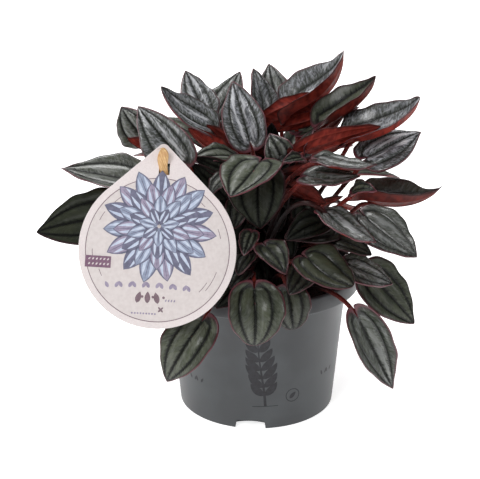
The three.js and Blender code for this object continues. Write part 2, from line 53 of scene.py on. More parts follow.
# %% [markdown]
# ## The camera
#
# The plant is looked at from a little above, from more than three of its own widths away. From so far a
# long lens fills the picture, and it keeps the pot's sides nearly parallel, where a short lens up close
# would swell the nearest leaves. The lens is worked out from a focal length of 1247 pixels in a picture
# 480 pixels wide, on a sensor 36 mm wide.

# %% Camera
FOCAL_PIXELS = 1247
PICTURE_WIDTH = 480
CAMERA_PLACE = (-10, -685, 349)
CAMERA_PITCH = 20

camera_data = bpy.data.cameras.new("camera")
camera_data.sensor_width = 36
camera_data.lens = FOCAL_PIXELS / PICTURE_WIDTH * camera_data.sensor_width
camera = bpy.data.objects.new("camera", camera_data)
camera.location = Vector(CAMERA_PLACE) * MM
camera.rotation_euler = (math.radians(90 - CAMERA_PITCH), 0, 0)
bpy.context.scene.collection.objects.link(camera)
bpy.context.scene.camera = camera
print(f"lens {camera_data.lens:.1f} mm")

# %% [markdown]
# ## Colours and nodes
#
# Blender's sockets want linear colour, and colours are easier to pick and to share as sRGB hex. One
# function turns the one into the other. Nodes could be placed by hand in the shader editor, but then
# nobody could read why they are there. So a second function adds a shader node, sets what it needs, joins
# its inputs and hands back its output, and each material below reads as a list of steps.


# %% Colours
def srgb(code):
    """An sRGB hex colour as the linear RGBA that Blender's sockets take."""
    parts = [int(code[i : i + 2], 16) / 255 for i in (1, 3, 5)]
    linear = [c / 12.92 if c <= 0.04045 else ((c + 0.055) / 1.055) ** 2.4 for c in parts]
    return (*linear, 1.0)


print(f"sRGB grey #808080 is {srgb('#808080')[0]:.3f} in linear light")


# %% Nodes
def add(tree, kind, inputs=(), output=None, **settings):
    """Adds a node with its settings and links, and returns the named output or the first one."""
    node = tree.nodes.new("ShaderNode" + kind)
    for name, value in settings.items():
        setattr(node, name, value)
    for key, value in inputs.items() if isinstance(inputs, dict) else enumerate(inputs):
        if isinstance(value, bpy.types.NodeSocket):
            tree.links.new(value, node.inputs[key])
        else:
            node.inputs[key].default_value = value
    enabled = [socket for socket in node.outputs if socket.enabled]
    return node.outputs[output] if output else (enabled or [None])[0]


def new_material(name):
    """An empty material and its node tree."""
    made = bpy.data.materials.new(name)
    made.use_nodes = True
    made.node_tree.nodes.clear()
    return made, made.node_tree


# %% [markdown]
# Real surfaces are never one flat colour, so most materials below turn a noise into two close colours, or
# lay a colour over another where a pattern or a distance says so. Each noise is given by the real width of
# its grains in millimetres, where 10 / 7 says that seven of them fit on 10 mm. Most are drawn in space, in
# metres. The leaves and the stick carry their own flat places in millimetres, so that a pattern follows
# them when they bend or lean.

# %% Patterns and what they colour
SMOOTH = {"interpolation_type": "SMOOTHSTEP"}  # a range that eases in and out
COLOUR = {"data_type": "RGBA"}  # a mix of two colours
FLAT_MM = 1  # a millimetre in the places that a leaf or the stick carries


def grain(size, millimetre=MM):
    """The scale of a pattern whose grains are size millimetres wide."""
    return 1 / (size * millimetre)


def mottled(tree, pattern, low, high, dark, light):
    """A colour that turns from dark to light as a pattern rises from low to high."""
    share = add(tree, "MapRange", [pattern, low, high], **SMOOTH)
    return add(tree, "Mix", {"Factor": share, "A": srgb(dark), "B": srgb(light)}, **COLOUR)


def tinted(tree, colour, pattern, span, code):
    """The colour with another over it. span: from and to which value, and the tint's share at each."""
    share = add(tree, "MapRange", [pattern, *span], **SMOOTH)
    return add(tree, "Mix", {"Factor": share, "A": colour, "B": srgb(code)}, **COLOUR)


print(f"grains 2 mm wide: scale {grain(2):.0f} in space and {grain(2, FLAT_MM):.1f} on a leaf")

# %% [markdown]
# ## The floor and the light
#
# Small products are often shot on a sheet of white acrylic that is lit from below as well as from above:
# the glow fills the shadows, so the object stands on plain white. The floor here is such a table. A
# shadow catcher would leave an empty background instead, and other views would then have no ground. Soft
# lamps stand in front to the left, overhead, and as tall strips at both sides, where a satin pot shows
# them as upright bands of light.

# %% Floor
acrylic, tree = new_material("studio_acrylic_opal_lit")
frosting = add(tree, "TexNoise", {"Scale": grain(10 / 9), "Detail": 2.0})
white = add(tree, "Mix", {"Factor": frosting, "A": srgb("#F4F4F4"), "B": srgb("#F7F7F7")}, **COLOUR)
surface = add(tree, "BsdfPrincipled", {
    "Base Color": white, "Roughness": 0.9, "Specular IOR Level": 0.1,
    "Emission Color": srgb("#FFFFFF"), "Emission Strength": 0.78,
})
add(tree, "OutputMaterial", {"Surface": surface})

FLOOR_HALF = 6.0
floor_mesh = bpy.data.meshes.new("floor")
floor_corners = [(x * FLOOR_HALF, y * FLOOR_HALF, 0) for x, y in ((-1, -1), (1, -1), (1, 1), (-1, 1))]
floor_mesh.from_pydata(floor_corners, [], [(0, 1, 2, 3)])
floor_mesh.materials.append(acrylic)
floor = bpy.data.objects.new("floor", floor_mesh)
bpy.context.scene.collection.objects.link(floor)
print("floor:", 2 * FLOOR_HALF, "m square")

# %% World and lamps
world = bpy.data.worlds.new("studio")
world.use_nodes = True
world.node_tree.nodes["Background"].inputs["Color"].default_value = srgb("#F4F6FA")
world.node_tree.nodes["Background"].inputs["Strength"].default_value = 0.15
bpy.context.scene.world = world

# Each lamp: its place, the point it looks at, its width and height in metres, and its power in watts.
LAMPS = {
    "overhead": ((-0.1, 0.2, 1.2), (0, 0, 0.14), 0.7, 0.5, 10.0),
    "front_left": ((-0.55, -1.05, 0.9), (0, 0, 0.13), 0.45, 0.45, 9.0),
    "side_right": ((1.0, -0.6, 0.55), (0, 0, 0.1), 0.3, 0.6, 1.6),
    "strip_left": ((-1.0, -0.1, 0.5), (0, 0, 0.08), 0.2, 1.0, 2.5),
    "far_floor": ((0, 1.5, 1.3), (0, 2.6, 0), 3.0, 1.0, 40.0),
}
for lamp_name, (place, target, wide, high, power) in LAMPS.items():
    lamp_data = bpy.data.lights.new(lamp_name, "AREA")
    lamp_data.shape = "RECTANGLE"
    lamp_data.size = wide
    lamp_data.size_y = high
    lamp_data.energy = power
    lamp = bpy.data.objects.new(lamp_name, lamp_data)
    lamp.location = place
    lamp.rotation_euler = (Vector(target) - Vector(place)).to_track_quat("-Z", "Y").to_euler()
    bpy.context.scene.collection.objects.link(lamp)
bpy.context.scene.view_settings.view_transform = "Standard"
print("lamps:", ", ".join(LAMPS))

# %% [markdown]
# ## How a piece becomes a mesh
#
# Most pieces here are long or round, so they are lofts: a row of closed rings with skin between them and
# a point at each end. The points are worked out in millimetres with numpy and turned to metres at the
# end. Numbers that a material needs, such as how far a point is from a vein, go with the mesh as named
# attributes, because they bend with the leaf where a texture in space would cut through it.


# %% Loft
def loft(start, rings, end):
    """Vertices and faces of a closed skin over rings of equal size, with a point at each end."""
    rings = np.asarray(rings, float)
    count, size = rings.shape[:2]
    points = np.vstack([[start], rings.reshape(-1, 3), [end]])
    last = len(points) - 1
    faces = []
    for k in range(size):
        following = (k + 1) % size
        faces.append((0, 1 + following, 1 + k))
        for ring in range(count - 1):
            low, high = 1 + ring * size, 1 + (ring + 1) * size
            faces.append((low + k, low + following, high + following, high + k))
        top = 1 + (count - 1) * size
        faces.append((last, top + k, top + following))
    return points, faces


# %% Mesh object
def make_piece(name, points, faces, materials, face_slots=None, attributes=None):
    """A smooth mesh object from millimetre points, riding on the one body."""
    mesh = bpy.data.meshes.new(name)
    mesh.from_pydata((np.asarray(points) * MM).tolist(), [], faces)
    for material in materials:
        mesh.materials.append(material)
    if face_slots is not None:
        mesh.polygons.foreach_set("material_index", np.asarray(face_slots, np.int32))
    mesh.polygons.foreach_set("use_smooth", [True] * len(mesh.polygons))
    for key, values in (attributes or {}).items():
        values = np.asarray(values, np.float32)
        kind, field = ("FLOAT", "value") if values.ndim == 1 else ("FLOAT_VECTOR", "vector")
        mesh.attributes.new(key, kind, "POINT").data.foreach_set(field, values.ravel())
    mesh.update()
    piece = bpy.data.objects.new(name, mesh)
    bpy.context.scene.collection.objects.link(piece)
    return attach(piece, "root")


# %% Small number helpers
def ramp(values, low, high):
    """0 below low, 1 above high, and smooth between."""
    t = np.clip((np.asarray(values, float) - low) / (high - low), 0, 1)
    return t * t * (3 - 2 * t)


def unit(vector):
    """The same direction, one long."""
    vector = np.asarray(vector, float)
    return vector / np.linalg.norm(vector)


# %% [markdown]
# ## What a leaf is
#
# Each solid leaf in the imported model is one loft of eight-sided rings: six round the stalk, then six
# round the blade, and a point at the tip. Reading those rings back gives the leaf's own numbers: where
# the stalk meets the blade, which way the blade points and faces, how long and wide it is, how far its
# margins lift and how far its midrib arches. The fine leaf is then drawn from those numbers, so it lies
# exactly where the solid one does.

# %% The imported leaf's rings
SOLID_SIDES = 8  # corners of each ring
STATION_WIDEST, STATION_MIDDLE = 2, 3  # of the six rings round the blade, counted from the stalk
WIDEST_MARGIN_AT, MIDDLE_AT = 0.17, 0.48  # where those rings' margin and midrib lie along the blade
STALK_END_BELOW = 1.0  # the stalk ends this far below the blade's middle
BLADE_RINGS = 6
CROWN_TOP = np.array([0.0, 0.0, 83.0])


def rings_of(name):
    """The tip and the rings of a leaf's solid, counted from its tip, in millimetres."""
    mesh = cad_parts[name].data
    numbers = {}
    number = [numbers.setdefault(tuple(v.co), len(numbers)) for v in mesh.vertices]
    points = np.array(list(numbers)) / MM
    near = [set() for _ in points]
    for face in mesh.polygons:
        corners = [number[v] for v in face.vertices]
        for corner in corners:
            near[corner].update(corners)
    ends = [i for i, found in enumerate(near) if len(found) == SOLID_SIDES + 1]  # its ring and itself
    tip = max(ends, key=lambda i: np.linalg.norm(points[i] - CROWN_TOP))
    rings, seen = [{tip}], {tip}
    while len(seen) < len(points):
        following = set().union(*(near[i] for i in rings[-1])) - seen
        rings.append(following)
        seen |= following
    return points[tip], [points[sorted(ring)] for ring in rings[1:-1]]


# %% Read a leaf back from its rings
def arch(m):
    """The share of a leaf's bow at a place m along it."""
    return 4 * m * (1 - m)


def read_leaf(name):
    """A leaf's own frame and measures."""
    tip, rings = rings_of(name)
    blade, stalk = rings[:BLADE_RINGS][::-1], rings[BLADE_RINGS:]
    widest = blade[STATION_WIDEST]
    apart = np.linalg.norm(widest[:, None] - widest[None], axis=2)
    i, j = np.unravel_index(apart.argmax(), apart.shape)
    left = unit(widest[i] - widest[j])

    def middle(ring):
        across = (ring - (widest[i] + widest[j]) / 2) @ left
        pair = ring[np.abs(across).argsort()[:2]]
        return pair.mean(0), pair[0] - pair[1]

    up = unit(middle(widest)[1])
    stalk_end = stalk[0].mean(0)
    if (stalk_end - middle(blade[0])[0]) @ up > 0:
        up = -up
    base = stalk_end + STALK_END_BELOW * up
    along = unit(tip - base)
    if np.cross(up, along) @ left < 0:
        left, i, j = -left, j, i
    bow = ((middle(blade[STATION_MIDDLE])[0] - base) @ up) / arch(MIDDLE_AT)
    return {
        "base": base, "tip": tip, "along": along, "up": up, "left": left,
        "length": np.linalg.norm(tip - base), "width": apart[i, j], "bow": bow,
        "cup": (widest[i] - base) @ up - bow * arch(WIDEST_MARGIN_AT),
        "stalk": np.array([ring.mean(0) for ring in stalk])[::-1],
    }


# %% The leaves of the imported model
leaf_names = sorted(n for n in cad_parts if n.startswith("leaf_"))
leaves = {name: read_leaf(name) for name in leaf_names}
widths = [leaf["width"] for leaf in leaves.values()]
print(f"{len(leaves)} leaves, {min(widths):.0f} to {max(widths):.0f} mm wide")

# %% [markdown]
# ## The shape of a blade
#
# A peperomia blade is a heart whose two lobes almost close behind the stalk, with a short point. Its
# veins start together at the stalk, run side by side in curves and meet again at the tip, and the skin
# between them swells up into smooth ribs. Two numbers say where a point of the blade is: how far along
# it lies, and how far across, from -1 at one margin to 1 at the other. A vein is then a line where the
# second number stays the same, and the ribs are simply a wave across it. The grid is closer together at
# each vein, so that the grooves stay crisp.

# %% The blade's outline
# mid, margin, out: where the midrib point and the margin point lie along the blade, and how far out
# the margin is as a share of half the width, from the notch at the stalk to the tip
OUTLINE = np.array([
    (0.000, -0.165, 0.02),
    (0.004, -0.180, 0.16),
    (0.012, -0.178, 0.34),
    (0.026, -0.150, 0.54),
    (0.055, -0.090, 0.74),
    (0.105, 0.005, 0.89),
    (0.175, 0.110, 0.975),
    (0.260, 0.215, 1.00),
    (0.360, 0.325, 0.99),
    (0.470, 0.440, 0.93),
    (0.580, 0.555, 0.82),
    (0.690, 0.670, 0.665),
    (0.790, 0.780, 0.48),
    (0.870, 0.865, 0.315),
    (0.930, 0.928, 0.18),
    (0.972, 0.971, 0.08),
    (1.000, 1.000, 0.00),
])
print("rows in the outline:", len(OUTLINE))

# %% Veins and grids
VEINS = (0.0, 0.57)
SWEEP_POWER, CUP_POWER = 1.5, 1.6
HALF_THICKNESS = 0.5
FINE_GRID = (50, [0, 0.02, 0.05, 0.09, 0.14, 0.2, 0.27, 0.34, 0.41, 0.46, 0.5, 0.53, 0.555,
    0.57, 0.585, 0.605, 0.64, 0.69, 0.75, 0.81, 0.87, 0.92, 0.96, 1])
PLAIN_GRID = (20, [0, 0.06, 0.2, 0.36, 0.48, 0.54, 0.57, 0.61, 0.72, 0.87, 1])
for rows, across in (FINE_GRID, PLAIN_GRID):
    print("blade grid:", rows, "rows of", 2 * len(across) - 1, "points")


# %% Smooth curve
def spline(points, count):
    """count points on a smooth curve through evenly numbered points."""
    points = np.asarray(points, float)
    padded = np.vstack([2 * points[0] - points[1], points, 2 * points[-1] - points[-2]])
    t = np.linspace(0, len(points) - 1, count)
    i = np.clip(t.astype(int), 0, len(points) - 2)
    u = (t - i)[:, None]
    a, b, c, d = (padded[i + k] for k in range(4))
    return 0.5 * (
        2 * b + (c - a) * u + (2 * a - 5 * b + 4 * c - d) * u**2 + (3 * b - a - 3 * c + d) * u**3
    )


# %% [markdown]
# The skin of each rib isn't smooth: it is puckered into low ripples about 5 mm apart that run across
# it, and crumpled finely between them, like foil that was pressed flat again. That is what makes the
# leaf glitter. A bump in the material would be lost when the mesh is exported, so the swelling, the
# ripples and the crumples are in the mesh, and the bump only adds what is finer than the grid.

# %% The blade's relief
RIB_SHARE = 0.125  # a rib's height as a share of the blade's half width
RIB_POWER = 0.6  # 1 would make a rib's section a plain sine, and less makes it fuller
OUTER_RIB, OUTER_CREST = 0.55, 0.72  # how high and how silvery the rib beside the margin is
RIPPLE, RIPPLE_PITCH = 0.07, 4.6  # in mm
SECOND_SHARE, SECOND_PITCH, SECOND_FAN = 0.7, 5.7, 2.5  # a lower set of ripples that fans out
CRUMPLE, CRUMPLE_PITCH, CRUMPLE_SQUEEZE = 0.22, 3.0, 0.6  # squeezed crumples are wider than long
PLAIN_CRUMPLING, SILVER_CRUMPLING = 0.6, 0.7  # what every leaf has, and what silvery ones add


def ribs(across, outer):
    """0 on each vein and 1 at the top of each rib between two veins, or outer beside the margin."""
    edge = np.abs(across)
    lines = (*VEINS, 1.0)
    height = np.zeros_like(edge)
    for low, high in zip(lines, lines[1:]):
        inside = (edge >= low) & (edge <= high)
        swell = np.sin(np.pi * (edge - low) / (high - low))
        share = 1.0 if high < 1 else outer
        height = np.where(inside, share * np.clip(swell, 0, 1) ** RIB_POWER, height)
    return height


def relief(across, sideways, slant, half, phase, silver):
    """The height in mm of ribs, ripples and crumples. Silvery leaves are crumpled the most."""
    height = ribs(across, OUTER_RIB)
    ripple = np.sin(2 * np.pi * slant / RIPPLE_PITCH + phase[0])
    fanned = 2 * np.pi * slant / SECOND_PITCH + SECOND_FAN * across
    ripple = ripple + SECOND_SHARE * np.sin(fanned + phase[1])
    places = np.stack([CRUMPLE_SQUEEZE * sideways, slant, phase[2] + 0 * across], -1) / CRUMPLE_PITCH
    crumple = [noise.noise(Vector(place)) for place in places.reshape(-1, 3)]
    fine = RIPPLE * ripple + CRUMPLE * np.reshape(crumple, across.shape)
    crumpling = PLAIN_CRUMPLING + SILVER_CRUMPLING * silver
    return RIB_SHARE * half * (height - 0.5) + height * fine * crumpling


# %% The wave of a margin
WAVE, LONG_WAVES, SHORT_WAVES = 0.5, 1.7, 3.4  # how far in mm and how often the margin waves
SHORT_SHARE, OUT_OF_STEP = 0.6, 0.3  # the short waves' height, and how far one margin is ahead
SIDE_WAVE = 0.02  # how far the margin waves sideways, as a share of the half width


def margin_wave(x, across, phase):
    """How high the wave of each side stands at a place x along the blade."""
    long = np.sin(2 * np.pi * (LONG_WAVES * x + OUT_OF_STEP * np.sign(across)) + phase[3])
    return long + SHORT_SHARE * np.sin(2 * np.pi * SHORT_WAVES * x + phase[4])


# %% The blade's surface
LOBE_CUP, LOBE_END = 0.65, 0.16  # the lobes lift less than the rest, up to here along the blade
TIP_FROM, TIP_THINNING = 0.86, 0.6  # from here on the blade thins and smooths out towards its tip
TIP_SHAPED_FROM = 0.45  # a round or drawn-out tip starts here
SLANT = 0.75  # how fast the ripples and nerves lean forward on their way to the margin


def blade_grid(leaf, rows, across, rng):
    """The middle surface of a blade, its thickness, and what its materials need to know."""
    mid, margin, out = (line[:, None] for line in spline(OUTLINE, rows + 2)[1:-1].T)
    out = np.maximum(out, 0.004) ** (1 - leaf["tip_shape"] * ramp(mid, TIP_SHAPED_FROM, 1))
    edge = np.abs(across)
    x = mid + (margin - mid) * edge**SWEEP_POWER
    m = np.clip(x, 0, 1)
    half = out * leaf["width"] / 2 + 0 * across
    lobes = LOBE_CUP + (1 - LOBE_CUP) * ramp(mid, 0.0, LOBE_END)
    rise = leaf["bow"] * arch(m) + leaf["cup"] * lobes * (out * edge) ** CUP_POWER
    rise = rise + leaf["hook"] * m**5 - leaf["keel"] * (1 - np.abs(2 * m - 1) ** 4) * (1 - edge**2)
    phase = rng.uniform(0, 2 * np.pi, 5)
    ends = ramp(mid, 0.0, 0.05) * (1 - ramp(mid, TIP_FROM, 0.99))
    lengthwise = x * leaf["length"]
    wave = margin_wave(x, across, phase)
    full = across + 0 * x
    slant = lengthwise - SLANT * edge * half
    skin = relief(full, full * half, slant, half, phase, leaf["silver"])
    rise = rise + ends * (skin + WAVE * edge**4 * wave)
    sideways = across * half * (1 + ends * SIDE_WAVE * edge**3 * wave)
    middle = leaf["base"] + lengthwise[..., None] * leaf["along"]
    middle = middle + sideways[..., None] * leaf["left"] + rise[..., None] * leaf["up"]
    thick = HALF_THICKNESS * np.sqrt(np.clip(1 - edge**8, 0, 1))  # the eighth power rounds the margin
    thick = thick * (1 - TIP_THINNING * ramp(mid, TIP_FROM, 1))
    from_vein = np.min([np.abs(edge - vein) for vein in VEINS], axis=0) * half
    facts = {
        "flat": np.stack([sideways, slant, 0 * x + phase[2] * 9], -1),
        "from_vein": from_vein,
        "from_margin": (1 - edge) * half,
        "crest": ribs(full, OUTER_CREST),
    }
    return middle, thick, facts


# %% [markdown]
# A blade and its stalk are one living piece, so they are one object with three materials: the upper
# skin, the underside and the stalk. The stalk's line is a cubic curve through the centres of the rings
# that were read back. It runs on a little at each end, into the crown and under the blade, where it
# thins out as the midrib.

# %% Blade mesh
STALK_RADIUS = 1.25
STALK_SIDES, STALK_RINGS = 12, 18


def both_sides(grid):
    """Grid values once for the upper side and once, backwards, for the lower side of each row."""
    return np.concatenate([grid, grid[:, -2:0:-1]], axis=1)


def blade_mesh(leaf, grid, rng):
    """Points, faces, face slots and attributes of one blade: slot 0 above and 1 below."""
    rows, half_columns = grid
    across = np.concatenate([half_columns[::-1], -np.array(half_columns[1:])])[None, :]
    middle, thick, facts = blade_grid(leaf, rows, across, rng)
    upper = middle + thick[..., None] * leaf["up"]
    lower = middle - thick[..., None] * leaf["up"]
    rings = np.concatenate([upper, lower[:, -2:0:-1]], axis=1)
    points, faces = loft(leaf["base"], rings, leaf["tip"] + leaf["hook"] * leaf["up"])
    slots = []
    for k in range(rings.shape[1]):
        slots += [0 if k < across.size - 1 else 1] * (rows + 1)
    attributes = {}
    for key, values in facts.items():
        ring_values = both_sides(values).reshape(rings.shape[0] * rings.shape[1], *values.shape[2:])
        attributes[key] = np.concatenate([ring_values[:1], ring_values, ring_values[-1:]])
    return points, faces, slots, attributes


# %% Stalk line
STALK_SHOWN = 0.93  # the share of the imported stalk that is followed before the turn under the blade
SUNK_IN_CROWN = 1.5
MIDRIB_END = 0.22  # how far along the blade the stalk runs on under it
TURN_BELOW, MIDRIB_BELOW = 1.25, 0.75  # how far under the blade it turns, and then lies


def stalk_line(leaf):
    """Points along a stalk, from inside the crown, then on under the blade as its midrib."""
    known = leaf["stalk"]
    t = np.linspace(0, 1, len(known))
    fit = [np.polyfit(t, known[:, axis], 3) for axis in range(3)]
    line = np.stack([np.polyval(f, np.linspace(0, STALK_SHOWN, STALK_RINGS)) for f in fit], axis=1)
    line[0] += SUNK_IN_CROWN * unit(line[0] - line[1])
    reach = MIDRIB_END * leaf["length"]
    sunk = leaf["keel"] * (1 - abs(2 * MIDRIB_END - 1) ** 4)
    bend = leaf["base"] - TURN_BELOW * leaf["up"] - 0.02 * reach * leaf["along"]
    rise = leaf["bow"] * arch(MIDRIB_END) - sunk - MIDRIB_BELOW
    end = leaf["base"] + reach * leaf["along"] + rise * leaf["up"]
    u = np.linspace(0, 1, 9)[1:, None]
    turn = (1 - u) ** 2 * line[-1] + 2 * u * (1 - u) * bend + u**2 * end
    return np.vstack([line, turn])


# %% Stalk mesh
FLARE, FLARE_END = 0.2, 0.12  # a stalk is thicker at its foot, over this share of its length
TAPER, TAPER_FROM = 0.62, 0.72  # and it thins from here on, where it turns into the midrib


def tube(line, radii, sides):
    """Rings round a line, turned as little as may be from one to the next."""
    steps = np.gradient(line, axis=0)
    steps /= np.linalg.norm(steps, axis=1)[:, None]
    side = np.cross(steps[0], [0.3, 0.5, 0.8])
    rings = []
    for point, step, radius in zip(line, steps, radii):
        side = unit(side - (side @ step) * step)
        turn = np.linspace(0, 2 * np.pi, sides, endpoint=False)[:, None]
        rings.append(point + radius * (np.cos(turn) * side + np.sin(turn) * np.cross(step, side)))
    return rings


def stalk_mesh(leaf):
    """Points and faces of a stalk, and how far along it each point is."""
    line = stalk_line(leaf)
    t = np.linspace(0, 1, len(line))
    foot = 1 - ramp(t, 0, FLARE_END)
    radii = leaf["stalk_radius"] * (1 + FLARE * foot - TAPER * ramp(t, TAPER_FROM, 1))
    points, faces = loft(line[0], tube(line, radii, STALK_SIDES), line[-1])
    return points, faces, np.concatenate([[0], np.repeat(t, STALK_SIDES), [1]])


# %% Build a leaf
def build_leaf(name, leaf, number, materials, grid=FINE_GRID):
    """One leaf object. Its attributes tell the materials where on the leaf a point is."""
    rng = np.random.default_rng(1000 + number)
    points, faces, slots, attributes = blade_mesh(leaf, grid, rng)
    stalk_points, stalk_faces, reach = stalk_mesh(leaf)
    shift = len(points)
    faces = faces + [tuple(v + shift for v in face) for face in stalk_faces]
    slots = slots + [2] * len(stalk_faces)
    for key, values in attributes.items():
        attributes[key] = np.concatenate([values, np.zeros((len(stalk_points), *values.shape[1:]))])
    total = shift + len(stalk_points)
    attributes["up_stalk"] = np.concatenate([np.ones(shift), reach])
    attributes["silver"] = np.full(total, leaf["silver"])
    attributes["shade"] = np.where(np.arange(total) < shift, leaf["shade"], leaf["stalk_shade"])
    piece = make_piece(name, np.vstack([points, stalk_points]), faces, materials, slots, attributes)
    return piece


# %% [markdown]
# ## The skin of a leaf
#
# A living leaf has a thin waxy skin, so it shines softly with an index of refraction near 1.45. On this
# plant the ribs carry a silvery bloom, because air lies just under their skin, and the veins between
# them stay nearly black green. The margin is a thin wine-red line. It could be painted on an image and
# unwrapped on each leaf, but 118 leaves would then need 118 good unwraps. Here all of it follows from
# distances in millimetres that are stored on the leaf, so the veins stay sharp from near and far. The
# bloom is strongest on high young leaves, and it carries painted glints and painted highlight streaks
# along the rib tops. Old low leaves are greener and duller, and painted shade makes them darker, as it
# does the leaves deep inside the plant.


# %% Patterns of the upper skin
def skin_patterns(tree, silver, vein):
    """Clouds, foil, streaks and nerves, drawn in millimetres on the flattened leaf."""
    flat = add(tree, "Attribute", output="Vector", attribute_name="flat")
    # Clouds are 5 mm wide, the foil-like crumples 1 to 2 mm, and the streaks 2 mm wide and 14 mm long.
    # The streaks place painted highlights along the rib tops.
    clouds = add(tree, "TexNoise", {"Vector": flat, "Scale": grain(5, FLAT_MM), "Detail": 3.0})
    pressed_scale = (grain(10 / 5.5, FLAT_MM), grain(1.25, FLAT_MM), 1.0)
    pressed = add(tree, "Mapping", {"Vector": flat, "Scale": pressed_scale})
    foil = add(tree, "TexNoise", {"Vector": pressed, "Scale": 1.0, "Detail": 4.0, "Distortion": 0.8})
    drawn_scale = (grain(2, FLAT_MM), grain(100 / 7, FLAT_MM), 1.0)
    drawn = add(tree, "Mapping", {"Vector": flat, "Scale": drawn_scale})
    streaks = add(tree, "TexNoise", {"Vector": drawn, "Scale": 1.0, "Detail": 3.0, "Distortion": 0.4})

    # Fine nerves leave the veins at a slant every 3.8 mm and fade out on the ribs.
    slant = add(tree, "SeparateXYZ", [flat], output="Y")
    wander = add(tree, "Math", [clouds, 3.5, slant], operation="MULTIPLY_ADD")
    nerve = add(tree, "Math", [wander, 1.9], operation="PINGPONG")
    nerve = add(tree, "MapRange", [nerve, 0.0, 0.5, 1.0, 0.0], **SMOOTH)
    near_vein = add(tree, "MapRange", [vein, 0.5, 4.0, 0.8, 0.0], **SMOOTH)
    bare = add(tree, "MapRange", [silver, 0.0, 1.0, 1.0, 0.25])
    near_vein = add(tree, "Math", [near_vein, bare], operation="MULTIPLY")
    nerve = add(tree, "Math", [nerve, near_vein], operation="MULTIPLY")
    return clouds, foil, streaks, nerve


# %% Colour of the upper skin
def skin_colour(tree, silver, crest, clouds, foil, streaks):
    """Green, paler on the ribs, then the silver with painted glints, and painted highlight streaks along
    the rib tops.
    """
    green = mottled(tree, clouds, 0.3, 0.7, "#22271A", "#353B29")
    high = add(tree, "Math", [foil, 0.7, crest], operation="MULTIPLY_ADD")
    high = add(tree, "MapRange", [high, 0.6, 1.25], **SMOOTH)
    # Rib tops are paler: partly the leaf's own paler pads, partly painted light where the ribs face the
    # lamps.
    pale = mottled(tree, clouds, 0.3, 0.7, "#393E2E", "#4B503C")
    skin = add(tree, "Mix", {"Factor": high, "A": green, "B": pale}, **COLOUR)
    # The foil mottles the silver into painted glints.
    silvered = mottled(tree, foil, 0.4, 0.64, "#3E4042", "#8A8C92")
    # Painted highlights: near-white streaks along the rib tops, where the lamps shine.
    highlight_streak = add(tree, "Math", [crest, 0.32, streaks], operation="MULTIPLY_ADD")
    silvered = tinted(tree, silvered, highlight_streak, (0.76, 0.92, 0.0, 0.75), "#CBCCD0")
    # The bloom is strongest on the rib tops, partly as painted light.
    bloom = add(tree, "MapRange", [high, 0.0, 1.0, 0.3, 1.0])
    bloom = add(tree, "Math", [bloom, silver], operation="MULTIPLY")
    return add(tree, "Mix", {"Factor": bloom, "A": skin, "B": silvered}, **COLOUR)


# %% Upper skin
def upper_skin(name, wax, polish):
    """Waxy skin. wax is how strongly it shines, and polish the roughness of its ribs."""
    made, tree = new_material(name)
    vein, margin, crest, silver, shade = (
        add(tree, "Attribute", output="Fac", attribute_name=key)
        for key in ("from_vein", "from_margin", "crest", "silver", "shade")
    )
    clouds, foil, streaks, nerve = skin_patterns(tree, silver, vein)
    skin = skin_colour(tree, silver, crest, clouds, foil, streaks)

    # The dark band beside each vein is 1 to 2 mm wide, and feathered by the nerves and the foil.
    ragged = add(tree, "Math", [foil, 1.3, vein], operation="MULTIPLY_ADD")
    ragged = add(tree, "Math", [nerve, -0.9, ragged], operation="MULTIPLY_ADD")
    ragged = add(tree, "Math", [silver, 0.3, ragged], operation="MULTIPLY_ADD")
    rib = add(tree, "MapRange", [ragged, 0.9, 1.9], **SMOOTH)

    # Then the dark veins, the wine-red rim in two steps, and painted shade: each leaf's shade number
    # darkens it towards near black, most deep inside the plant and low down.
    skin = add(tree, "Mix", {"Factor": rib, "A": srgb("#0E110B"), "B": skin}, **COLOUR)
    skin = tinted(tree, skin, margin, (0.5, 1.8, 0.85, 0.0), "#2C1518")
    skin = tinted(tree, skin, margin, (0.3, 0.85, 0.85, 0.0), "#623039")
    # Painted shade: the skin turns towards near black by the leaf's shade number.
    skin = add(tree, "Mix", {"Factor": shade, "A": skin, "B": srgb("#040503")}, **COLOUR)

    rough = add(tree, "MapRange", [vein, 0.2, 1.6, polish + 0.1, polish], **SMOOTH)
    creased = add(tree, "MapRange", [silver, 0.0, 1.0, 0.35, 1.0])
    height = add(tree, "Math", [foil, creased], operation="MULTIPLY")
    height = add(tree, "Math", [nerve, -0.3, height], operation="MULTIPLY_ADD")
    bump = add(tree, "Bump", {"Height": height, "Strength": 0.8, "Distance": 0.8 * MM})
    surface = add(tree, "BsdfPrincipled", {
        "Base Color": skin, "Roughness": rough, "Normal": bump, "IOR": 1.45,
        "Specular IOR Level": 0.45 * wax, "Coat Weight": 0.45 * wax**2, "Coat Roughness": 0.16,
    })
    add(tree, "OutputMaterial", {"Surface": surface})
    return made


SKINS = {
    "silvered": upper_skin("leaf_skin_waxy_silvered", 1.0, 0.3),
    "green": upper_skin("leaf_skin_waxy_green", 0.6, 0.42),
    # A shaded copy of the skin with little shine, for leaves with deep painted shade.
    "shaded": upper_skin("leaf_skin_young_shaded", 0.25, 0.45),
}
print("upper skins:", ", ".join(SKINS))
